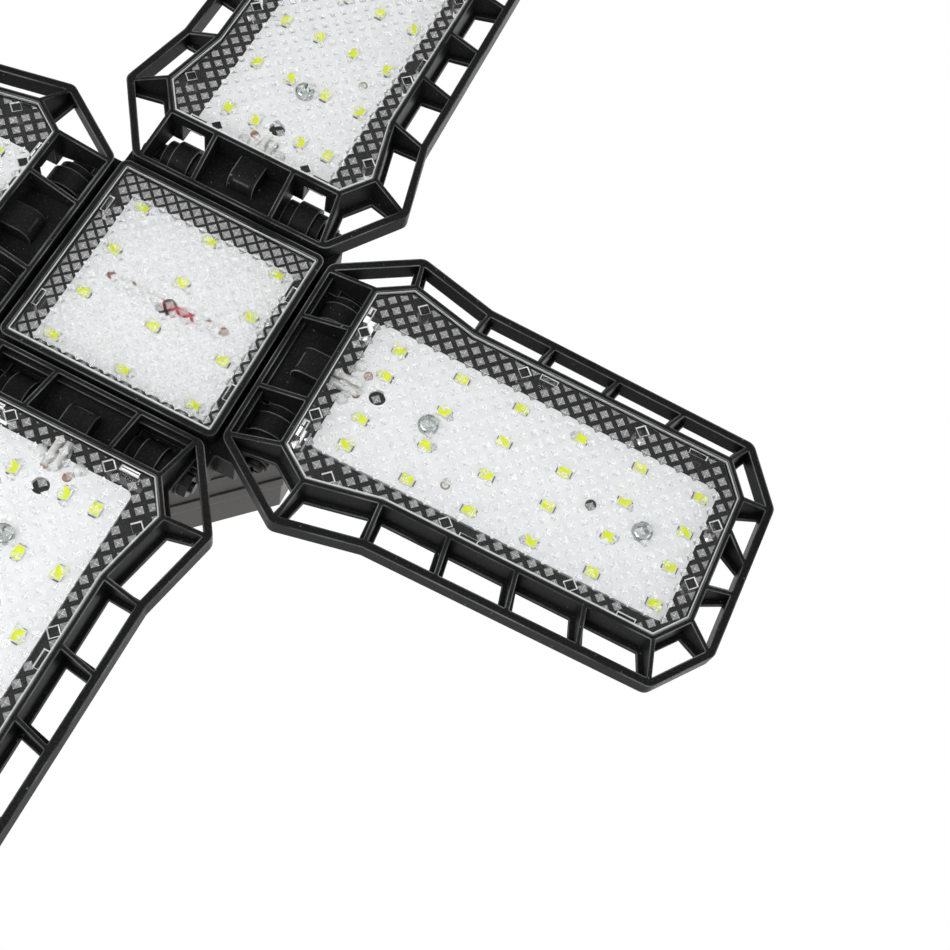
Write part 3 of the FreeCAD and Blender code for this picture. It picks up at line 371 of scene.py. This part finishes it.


# third colour of each plastic: the painted edge highlight, also used for its dust
BLACK = moulded_plastic(
    "black_plastic", (0.004, 0.0041, 0.0043), (0.019, 0.0192, 0.0196), (0.18, 0.183, 0.187),
    rough=0.42, grain=0.03 * MM, edge_round=0.35 * MM, gloss=0.035,
)
GREY = moulded_plastic(
    "grey_plastic", (0.074, 0.070, 0.068), (0.092, 0.088, 0.085), (0.21, 0.205, 0.20),
    rough=0.52, grain=0.03 * MM, edge_round=0.4 * MM, gloss=0.15,
)
CLEAR = clear_plastic()
MILK = (0.92, 0.925, 0.92)
FACET = frosted_plastic("prism_facet", clearness=0.66, milk=MILK, rough=0.06, grain=0.005 * MM)
RIDGE = frosted_plastic("prism_ridge", clearness=0.58, milk=MILK, rough=0.2, grain=0.01 * MM)
EDGE = frosted_plastic(
    "plate_edge", clearness=0.3, milk=(0.62, 0.63, 0.63), rough=0.3, grain=0.01 * MM
)
GLUE = frosted_plastic("clear_glue", clearness=0.8, milk=MILK, rough=0.1, grain=0.02 * MM)
POST_FOOT = frosted_plastic("post_foot", clearness=0.1, milk=MILK, rough=0.3, grain=0.01 * MM)
PLATE_FINISHES = (CLEAR, FACET, RIDGE, EDGE, POST_FOOT)
FACET_SLOT, RIDGE_SLOT, EDGE_SLOT, FOOT_SLOT = 1, 2, 3, 4
BOARD = coated_board()
CHIP_WHITE = plain_gloss("chip_package", (0.88, 0.89, 0.88), 0.4)
PHOSPHOR = plain_gloss("chip_phosphor", (0.89, 0.99, 0.008), 0.45)
CONTACT = plain_gloss("chip_contact", (0.09, 0.09, 0.11), 0.4)
CHIP_FINISHES = (CHIP_WHITE, PHOSPHOR, CONTACT)
PHOSPHOR_SLOT, CONTACT_SLOT = 1, 2
STEEL = plated_metal("plated_steel", (0.45, 0.49, 0.48), 0.15)
SOLDER = plain_gloss("lead_solder", (0.30, 0.15, 0.085), 0.3)
RESIN = plain_gloss("lead_resin", (0.80, 0.82, 0.82), 0.25)
TEST_RING = plain_gloss("test_ring", (0.30, 0.25, 0.16), 0.4)
BLACKED = plated_metal("blackened_steel", (0.04, 0.04, 0.042), 0.5)
SHELL = plated_metal("shell_nickel", (0.62, 0.61, 0.59), 0.26)
BUTTON = plated_metal("contact_solder", (0.58, 0.56, 0.51), 0.42)
INSULATOR = plain_gloss("base_insulator", (0.02, 0.02, 0.022), 0.2)
RED_LEAD = plain_gloss("red_lead", (0.45, 0.03, 0.025), 0.4)
WHITE_LEAD = plain_gloss("white_lead", (0.82, 0.82, 0.80), 0.4)
CENTRE_LEADS = two_sleeves()
GREEN = plain_gloss("circuit_board", (0.05, 0.22, 0.09), 0.35)
TAPE = plain_gloss("transformer_tape", (0.75, 0.60, 0.10), 0.35)
SLEEVE = plain_gloss("capacitor_sleeve", (0.03, 0.04, 0.06), 0.3)
MOULDED = plain_gloss("component_body", (0.03, 0.03, 0.032), 0.5)


# ---------------------------------------------------------------- mesh helpers


def faces_down(face):
    return face.normal.z < -0.9


def only(*objects):
    """Select just these objects; the first becomes the active one."""
    bpy.ops.object.select_all(action="DESELECT")
    for piece in objects:
        piece.select_set(True)
    bpy.context.view_layer.objects.active = objects[0]


def apply_place(piece):
    """Put a piece's place, turn and size into its mesh."""
    only(piece)
    bpy.ops.object.transform_apply(location=True, rotation=True, scale=True)
    return piece


def open_with(piece, kind, wanted):
    """Open a piece for editing with only the points, edges or faces that pass a test."""
    only(piece)
    kinds = ("VERT", "EDGE", "FACE")
    bpy.context.tool_settings.mesh_select_mode = [kind == each for each in kinds]
    mesh = piece.data
    for each, parts in zip(kinds, (mesh.vertices, mesh.edges, mesh.polygons)):
        parts.foreach_set("select", [each == kind and bool(wanted(part)) for part in parts])
    bpy.ops.object.mode_set(mode="EDIT")


def open_whole(piece):
    """Open a piece for editing with all of it selected."""
    only(piece)
    bpy.ops.object.mode_set(mode="EDIT")
    bpy.ops.mesh.select_all(action="SELECT")


def close():
    bpy.ops.object.mode_set(mode="OBJECT")


def modify(piece, kind, **settings):
    """Add a modifier and apply it."""
    only(piece)
    modifier = piece.modifiers.new(kind.lower(), kind)
    for name, setting in settings.items():
        setattr(modifier, name, setting)
    bpy.ops.object.modifier_apply(modifier=modifier.name)
    return piece


def joined(name, pieces):
    only(*pieces)
    if len(pieces) > 1:
        bpy.ops.object.join()
    pieces[0].name = pieces[0].data.name = name
    return pieces[0]


def copied(piece, name, matrix=None):
    """A copy with its own mesh, moved by a matrix that goes into the mesh."""
    twin = piece.copy()
    twin.data = piece.data.copy()
    twin.name = twin.data.name = name
    bpy.context.scene.collection.objects.link(twin)
    if matrix is not None:
        twin.data.transform(matrix)
    return twin


def remove(piece):
    bpy.data.objects.remove(piece)


def cad_copy(node, name):
    """A copy of a CAD node with its loose triangles merged and flat faces made whole."""
    piece = frame["nodes"][node].copy()
    piece.data = piece.data.copy()
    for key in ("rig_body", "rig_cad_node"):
        del piece[key]
    piece.parent = None
    piece.name = piece.data.name = name
    bpy.context.scene.collection.objects.link(piece)
    only(piece)
    bpy.ops.mesh.customdata_custom_splitnormals_clear()
    open_whole(piece)
    bpy.ops.mesh.remove_doubles(threshold=WELD)
    bpy.ops.mesh.dissolve_limited(angle_limit=FLAT_ANGLE)
    close()
    return piece


def boxes(node):
    """Lowest and highest corner of each separate solid of a CAD node, in the node's order."""
    piece = cad_copy(node, "measured")
    mesh = piece.data
    parent = list(range(len(mesh.vertices)))

    def root(i):
        while parent[i] != i:
            parent[i] = parent[parent[i]]
            i = parent[i]
        return i

    for edge in mesh.edges:
        a, b = (root(i) for i in edge.vertices)
        parent[a] = b
    solids = {}
    for vertex in mesh.vertices:
        solids.setdefault(root(vertex.index), []).append(vertex.co.copy())
    found = []
    for points in solids.values():
        low = Vector(min(p[i] for p in points) for i in range(3))
        high = Vector(max(p[i] for p in points) for i in range(3))
        found.append((low, high))
    remove(piece)
    return found


def quarter(number):
    """The turn that carries wing 1 to another wing's place."""
    return Matrix.Rotation(math.radians(90 * (number - 1)), 4, "Z")


def finish_with(piece, *materials):
    """Give a piece its materials, in the order of their slots."""
    piece.data.materials.clear()
    for material in materials:
        piece.data.materials.append(material)
    return piece


def smooth(piece, degrees=30):
    only(piece)
    bpy.ops.object.shade_smooth_by_angle(angle=math.radians(degrees))
    return piece


def put_on(body, piece, slot, *nodes):
    """Hold a finished piece on a body, standing for the nodes that it replaces."""
    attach(piece, body)
    if nodes:
        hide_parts(*nodes)


def put_on_wings(piece, slot, *parts, folds=True):
    """Copy a piece of wing 1 to every wing; it folds with the wing or stays on the base."""
    for number in WINGS:
        twin = copied(piece, f"{piece.name}_{number}", quarter(number))
        nodes = [f"wing_{number}_{part}" for part in parts]
        put_on(f"wing_{number}" if folds else "base", twin, slot, *nodes)
    remove(piece)


# ---------------------------------------------------------------- prismatic plates


def prism(side, place):
    """A square pyramid standing on one corner's diagonal, its ridges and tip broken."""
    rise = side / 2 * math.tan(PRISM_SLOPE)
    bpy.ops.mesh.primitive_cone_add(
        vertices=4, radius1=side / math.sqrt(2), depth=rise + PRISM_SUNK,
        location=place + Vector((0, 0, (rise - PRISM_SUNK) / 2)),
    )
    piece = finish_with(apply_place(bpy.context.object), *PLATE_FINISHES)
    for face in piece.data.polygons:
        face.material_index = FACET_SLOT
    tip = max(piece.data.vertices, key=lambda vertex: vertex.co.z).index
    open_with(piece, "EDGE", lambda edge: tip in edge.vertices)
    bpy.ops.mesh.bevel(
        offset=RIDGE_WIDE / 2, segments=1, affect="EDGES", material=RIDGE_SLOT
    )
    close()
    return piece


def prism_field(pitch, side, middle, half, back):
    """Diagonal rows of prisms on a plate's back, past its border on every side."""
    step = pitch / math.sqrt(2)
    reach = math.ceil((half.x + half.y) / step / 2)
    field = prism(side, Vector((middle.x - 2 * reach * step, middle.y, back)))
    corners = len(field.data.vertices)
    for sideways in (step, -step):
        modify(
            field, "ARRAY", count=2 * reach + 1, use_relative_offset=False,
            use_constant_offset=True, constant_offset_displace=(step, sideways, 0),
        )
    return field, corners


def drop_prisms(field, corners, plate, back):
    """Take out the prisms that would stand in a post or a snap tab of the plate."""
    points = field.data.vertices
    lost = set()
    for point in points:
        start = point.co.copy()
        start.z = back + ABOVE_PLATE
        hit, place, normal, index = plate.ray_cast(start, Vector((0, 0, -1)))
        if hit and place.z > back + PRISM_SUNK:
            lost.add(point.index // corners)
    open_with(field, "VERT", lambda point: point.index // corners in lost)
    bpy.ops.mesh.delete(type="VERT")
    close()


def in_front(face, front):
    """Whether a face lies in a plate's flat front."""
    return face.normal.z < -0.99 and abs(face.center.z - front) < SAME_PLANE


def prism_ground(node, front, low, high):
    """The space that prisms may fill: the plate's outline drawn in, from low to high."""
    ground = cad_copy(node, "prism_ground")
    open_with(ground, "FACE", lambda face: in_front(face, front))
    bpy.ops.mesh.inset(thickness=PLATE_BORDER)
    bpy.ops.mesh.select_all(action="INVERT")
    bpy.ops.mesh.delete(type="FACE")
    bpy.ops.mesh.select_all(action="SELECT")
    bpy.ops.transform.translate(value=(0, 0, low - front))
    bpy.ops.mesh.extrude_region_move(TRANSFORM_OT_translate={"value": (0, 0, high - low)})
    bpy.ops.mesh.select_all(action="SELECT")
    bpy.ops.mesh.normals_make_consistent(inside=False)
    close()
    return finish_with(ground, *PLATE_FINISHES)


def round_front(plate, front):
    """Round the long edge between a plate's front face and its sides."""
    beside = {}
    for face in plate.data.polygons:
        for key in face.edge_keys:
            beside.setdefault(key, set()).add(in_front(face, front))
    open_with(plate, "EDGE", lambda edge: len(beside[edge.key]) == 2)
    bpy.ops.mesh.bevel(offset=PLATE_ROUND, segments=3, affect="EDGES", material=EDGE_SLOT)
    close()


def fillet_posts(plate, back):
    """Fill the corner between a plate's back and the posts and tabs that stand on it."""
    beside = {}
    for face in plate.data.polygons:
        if face.normal.z > 0.99 and abs(face.center.z - back) < SAME_PLANE:
            side = "back"
        elif abs(face.normal.z) < 0.1 and face.center.z > back:
            side = "post"
        else:
            side = "other"
        for key in face.edge_keys:
            beside.setdefault(key, set()).add(side)
    open_with(plate, "EDGE", lambda edge: beside[edge.key] == {"back", "post"})
    bpy.ops.mesh.bevel(offset=POST_FILLET, segments=1, affect="EDGES", material=FOOT_SLOT)
    close()


def prismatic_plate(node, name, pitch, side):
    """The clear plate of a light: rounded front edge, smooth front, prisms on the back."""
    plate = finish_with(cad_copy(node, name), *PLATE_FINISHES)
    low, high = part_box(node)
    front, back = low.z, low.z + PLATE_THICK
    for face in plate.data.polygons:
        if abs(face.normal.z) < 0.5 and face.center.z < back:
            face.material_index = EDGE_SLOT
    field, corners = prism_field(pitch, side, (low + high) / 2, (high - low) / 2, back)
    drop_prisms(field, corners, plate, back)
    ground = prism_ground(node, front, back - PRISM_ROOM[0], back + PRISM_ROOM[1])
    modify(field, "BOOLEAN", operation="INTERSECT", solver="MANIFOLD", object=ground)
    round_front(plate, front)
    fillet_posts(plate, back)
    modify(plate, "BOOLEAN", operation="UNION", solver="MANIFOLD", object=field)
    remove(ground)
    remove(field)
    return plate


def plates():
    wing = prismatic_plate("wing_1_lens", "wing_plate", WING_PRISM_PITCH, WING_PRISM_SIDE)
    put_on_wings(wing, "clear_plastic", "lens")
    centre = prismatic_plate(
        "centre_lens", "centre_plate", CENTRE_PRISM_PITCH, CENTRE_PRISM_SIDE
    )
    put_on("base", centre, "clear_plastic", "centre_lens")


# ---------------------------------------------------------------- light boards


def block(middle, size):
    """A plain block, the start of a board or a chip."""
    bpy.ops.mesh.primitive_cube_add(size=1.0, location=middle)
    bpy.context.object.scale = size
    return apply_place(bpy.context.object)


def bar(radius, long, middle, sides=32):
    """A plain round bar along Z, the start of a hole or a screw."""
    bpy.ops.mesh.primitive_cylinder_add(
        vertices=sides, radius=radius, depth=long, location=middle
    )
    return apply_place(bpy.context.object)


def drill(piece, radius, place, low, high):
    """A round hole along Z through a board that lies between low and high."""
    long = high - low + 2 * DRILL_SPARE
    bit = bar(radius, long, (place[0], place[1], (low + high) / 2))
    modify(piece, "BOOLEAN", operation="DIFFERENCE", solver="MANIFOLD", object=bit)
    remove(bit)


def wing_board():
    """Light board of a wing: rounded corners, screw holes and the hole beside the leads."""
    low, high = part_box("wing_1_board")
    low = low + Vector((0, BOARD_TRIM[0], 0))
    high = high + Vector((BOARD_EXTRA, -BOARD_TRIM[1], 0))
    board = joined("wing_board", [block((low + high) / 2, high - low)])
    points = board.data.vertices

    def upright(edge):
        a, b = (points[i].co for i in edge.vertices)
        return abs(a.z - b.z) > (high.z - low.z) / 2

    open_with(board, "EDGE", upright)
    bpy.ops.mesh.bevel(offset=BOARD_CORNER, segments=4, affect="EDGES")
    close()
    for screw_low, screw_high in boxes("wing_1_board_screws"):
        drill(board, BOARD_SCREW_HOLE, (screw_low + screw_high) / 2, low.z, high.z)
    drill(board, LEAD_HOLE_RADIUS, LEAD_HOLE_PLACE, low.z, high.z)
    put_on_wings(finish_with(board, BOARD), "white_board", "board")
    return low.z


def dome(place, board_front, size, material):
    """A drop of solder or resin standing on a board; size is its radius and height."""
    radius, high = size
    bpy.ops.mesh.primitive_uv_sphere_add(
        segments=20, ring_count=10, radius=radius, location=(*place, board_front)
    )
    drop = bpy.context.object
    drop.scale.z = high / radius
    apply_place(drop)
    return smooth(finish_with(drop, material), 60)


def board_marks(board_front):
    """What else stands on a wing board: a small dark screw, a test ring and the solder."""
    screw = pan_screw(SMALL_SCREW_HEAD, SMALL_SCREW_SHANK)
    screw.data.transform(Matrix.Translation((*SMALL_SCREW_PLACE, board_front)))
    finish_with(screw, BLACKED)
    ring_radius, wire_radius = TEST_RING_RADII
    bpy.ops.mesh.primitive_torus_add(
        major_radius=ring_radius, minor_radius=wire_radius, major_segments=32,
        minor_segments=8, location=(*TEST_RING_PLACE, board_front),
    )
    ring = smooth(finish_with(apply_place(bpy.context.object), TEST_RING), 60)
    domes = [dome(place, board_front, SOLDER_SIZE, SOLDER) for place in SOLDER_PLACES]
    domes += [dome(place, board_front, RESIN_SIZE, RESIN) for place in RESIN_PLACES]
    marks = joined("board_marks", [screw, ring, *domes])
    put_on_wings(marks, "screw_steel")


def lead_glue(board_front):
    """Clear glue over the leads, where they reach the board."""
    bpy.ops.mesh.primitive_ico_sphere_add(
        subdivisions=4, radius=0.5, location=(*GLUE_MIDDLE, board_front)
    )
    glue = bpy.context.object
    glue.name = "lead_glue"
    glue.scale = GLUE_SIZE
    apply_place(glue)
    lumps = bpy.data.textures.new("glue_lumps", "CLOUDS")
    lumps.noise_scale = GLUE_LUMP_SIZE
    modify(
        glue, "DISPLACE", texture=lumps, strength=GLUE_LUMP_HIGH, texture_coords="GLOBAL"
    )
    put_on_wings(smooth(finish_with(glue, GLUE), 60), "clear_plastic")


def light_boards():
    """Boards, marks and glue of the wings, and the drops on the centre board's leads."""
    board_front = wing_board()
    board_marks(board_front)
    lead_glue(board_front)
    centre_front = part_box("centre_board")[0].z
    domes = [
        dome((x, CENTRE_SOLDER_SIDE), centre_front, SOLDER_SIZE, SOLDER)
        for x in CENTRE_SOLDER
    ]
    put_on("base", joined("centre_solder", domes), "contact_metal")


# ---------------------------------------------------------------- light chips


def light_chip(low, high):
    """One chip: white package, sunk phosphor in front, bright contacts at its two ends."""
    size, middle = high - low, (low + high) / 2
    chip = finish_with(block(middle, size), *CHIP_FINISHES)
    open_with(chip, "FACE", faces_down)
    bpy.ops.mesh.inset(thickness=CHIP_WALL)
    bpy.ops.mesh.bevel(offset=CHIP_ROUND, segments=5, affect="VERTICES")
    bpy.ops.mesh.extrude_region_move(TRANSFORM_OT_translate={"value": (0, 0, CHIP_WELL)})
    close()
    for face in chip.data.polygons:
        if face.select and faces_down(face):
            face.material_index = PHOSPHOR_SLOT
    long, wide, thick = CONTACT_SIZE
    contacts = []
    for end in (-1, 1):
        x = middle.x + end * (size.x + long) / 2
        tab = block((x, middle.y, high.z - thick / 2), (long, wide, thick))
        finish_with(tab, *CHIP_FINISHES)
        for face in tab.data.polygons:
            face.material_index = CONTACT_SLOT
        contacts.append(tab)
    return joined("light_chip", [chip, *contacts])


def chip_group(node, name):
    """Detailed chips in the places of a CAD node's plain ones."""
    places = boxes(node)
    first_low, first_high = places[0]
    model = light_chip(first_low, first_high)
    twins = [
        copied(model, f"chip_{i}", Matrix.Translation(low - first_low))
        for i, (low, high) in enumerate(places)
    ]
    remove(model)
    return joined(name, twins)


def chips():
    put_on_wings(chip_group("wing_1_leds", "wing_chips"), "light_chip", "leds")
    put_on("base", chip_group("centre_leds", "centre_chips"), "light_chip", "centre_leds")


# ---------------------------------------------------------------- fasteners


def pan_screw(head_size, shank_size):
    """Cross-recess pan-head screw at the origin: head towards -Z, shank towards +Z.

    Both sizes are a radius and a length along the screw.
    """
    radius, high = head_size
    shank_radius, shank_long = shank_size
    head = bar(radius, high, (0, 0, -high / 2), sides=48)
    open_with(head, "FACE", faces_down)
    bpy.ops.mesh.bevel(offset=high * HEAD_ROUND, segments=6, affect="EDGES")
    close()
    for turned in (0, 90):
        bpy.ops.mesh.primitive_cylinder_add(
            vertices=4, radius=1.0, depth=high * RECESS_DEEP * 2, location=(0, 0, -high),
            rotation=(0, 0, math.radians(45)),
        )
        blade = apply_place(bpy.context.object)
        across = radius * math.sqrt(2)
        blade.scale = (across * RECESS_REACH, across * RECESS_WIDE, 1)
        blade.rotation_euler.z = math.radians(turned)
        apply_place(blade)
        modify(head, "BOOLEAN", operation="DIFFERENCE", solver="MANIFOLD", object=blade)
        remove(blade)
    shank = bar(shank_radius, shank_long, (0, 0, shank_long / 2))
    return smooth(joined("pan_screw", [head, shank]), 35)


def aim(direction):
    """The turn that carries +Z to a direction."""
    return Vector((0, 0, 1)).rotation_difference(Vector(direction)).to_matrix().to_4x4()


def screw_set(node, name, direction, metal):
    """Detailed screws in the places of a CAD node's plain ones; shanks run along direction."""
    direction = Vector(direction)
    head_high = SCREW_HEAD[1]
    twins = []
    for low, high in boxes(node):
        middle = (low + high) / 2
        length = abs((high - low).dot(direction))
        seat = middle - direction * (length / 2 - head_high)
        screw = pan_screw(SCREW_HEAD, (SCREW_SHANK_RADIUS, length - head_high))
        screw.data.transform(Matrix.Translation(seat) @ aim(direction))
        twins.append(screw)
    return finish_with(joined(name, twins), metal)


def fasteners():
    boards = screw_set("wing_1_board_screws", "board_screws", (0, 0, 1), STEEL)
    put_on_wings(boards, "screw_steel", "board_screws")
    for node in ("housing_screws", "hub_screws", "driver_screws"):
        screws = screw_set(node, f"{node}_set", (0, 0, -1), STEEL)
        put_on("base", screws, "screw_steel", node)
    hinge = screw_set("wing_1_hinge_screw", "hinge_screw", (0, -1, 0), BLACKED)
    put_on_wings(hinge, "screw_steel", "hinge_screw", folds=False)


# ---------------------------------------------------------------- screw base


def threaded_shell():
    """The screw shell as one sheet rolled with a round thread."""
    low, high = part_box("screw_shell")
    root = high.x - THREAD_DEPTH
    bpy.ops.mesh.primitive_grid_add(
        x_subdivisions=SHELL_AROUND, y_subdivisions=SHELL_ALONG, size=1.0
    )
    shell = bpy.context.object
    shell.name = shell.data.name = "threaded_shell"
    thread_low = low.z + THREAD_START
    thread_high = thread_low + THREAD_TURNS * THREAD_PITCH
    for vertex in shell.data.vertices:
        angle = (vertex.co.x + 0.5) * 2 * math.pi
        z = low.z + (vertex.co.y + 0.5) * (high.z - low.z)
        phase = z / THREAD_PITCH - angle / (2 * math.pi)
        wave = 0.5 + 0.5 * math.cos(2 * math.pi * phase)
        begun = min(1, max(0, (z - thread_low) / THREAD_FADE))
        left = min(1, max(0, (thread_high - z) / THREAD_FADE))
        top = max(0, (z - (high.z - SHELL_DRAW_IN)) / SHELL_DRAW_IN)
        drawn = SHELL_DRAW_IN * (1 - math.sqrt(max(0, 1 - top * top)))
        radius = root + THREAD_DEPTH * wave * (begun * left) - drawn
        vertex.co = (radius * math.cos(angle), radius * math.sin(angle), z)
    open_whole(shell)
    bpy.ops.mesh.remove_doubles(threshold=WELD)
    bpy.ops.mesh.normals_make_consistent(inside=False)
    close()
    modify(shell, "SOLIDIFY", thickness=SHELL_WALL, offset=-1)
    smooth(finish_with(shell, SHELL), 60)
    put_on("base", shell, "shell_metal", "screw_shell")


# ---------------------------------------------------------------- the studio


def floor():
    """Pale floor far below the lamp."""
    bpy.ops.mesh.primitive_plane_add(size=FLOOR_WIDE, location=(0, 0, FLOOR_LEVEL))
    ground = bpy.context.object
    ground.name = "floor"
    pale = Finish("pale_floor")
    pale.set(Base_Color=pale.mix(pale.noise(3.0), *FLOOR_SHADES), Roughness=0.7)
    ground.data.materials.append(pale.material)


def lights():
    """Soft lamps on both sides and a white surround."""
    for name, place, watts, side in LAMPS:
        lamp = bpy.data.objects.new(name, bpy.data.lights.new(name, "AREA"))
        lamp.data.energy = watts
        lamp.data.size = side
        lamp.location = place
        aimed = (LAMP_AIM - lamp.location).to_track_quat("-Z", "Y")
        lamp.rotation_euler = aimed.to_euler()
        lamp.visible_camera = False
        bpy.context.scene.collection.objects.link(lamp)
    world = bpy.data.worlds.new("studio")
    world.use_nodes = True
    bpy.context.scene.world = world
    background = world.node_tree.nodes["Background"]
    background.inputs["Color"].default_value = (1, 1, 1, 1)
    background.inputs["Strength"].default_value = 1.0


def camera():
    """The photograph's view of the lamp."""
    viewer = bpy.data.objects.new("camera", bpy.data.cameras.new("camera"))
    viewer.data.lens = CAMERA_LENS
    viewer.data.sensor_width = SENSOR_WIDTH
    upside_down = Matrix.Rotation(math.pi, 4, "X")
    turned = upside_down @ CAMERA_TILT.to_matrix().to_4x4()
    viewer.matrix_world = Matrix.Translation(CAMERA_PLACE) @ turned
    bpy.context.scene.collection.objects.link(viewer)
    bpy.context.scene.camera = viewer
    bpy.context.scene.view_settings.view_transform = "Standard"


def carried_nodes():
    """Finishes of the CAD nodes that keep their own meshes."""
    finishes = {
        "hub_body": BLACK, "housing_front": GREY, "housing_rear": GREY,
        "centre_board": BOARD, "base_insulator": INSULATOR, "centre_contact": BUTTON,
        "driver_board": GREEN, "driver_transformer": TAPE, "driver_capacitor": SLEEVE,
        "driver_components": MOULDED, "mains_leads": RED_LEAD, "centre_leads": CENTRE_LEADS,
    }
    for number in WINGS:
        finishes[f"wing_{number}_frame"] = BLACK
        finishes[f"wing_{number}_leads"] = WHITE_LEAD
        finishes[f"wing_{number}_hinge_nut"] = BLACKED
        finishes[f"wing_{number}_friction_washers"] = BLACKED
    for node, material in finishes.items():
        finish_with(frame["nodes"][node], material)


carried_nodes()
plates()
light_boards()
chips()
fasteners()
threaded_shell()
floor()
lights()
camera()
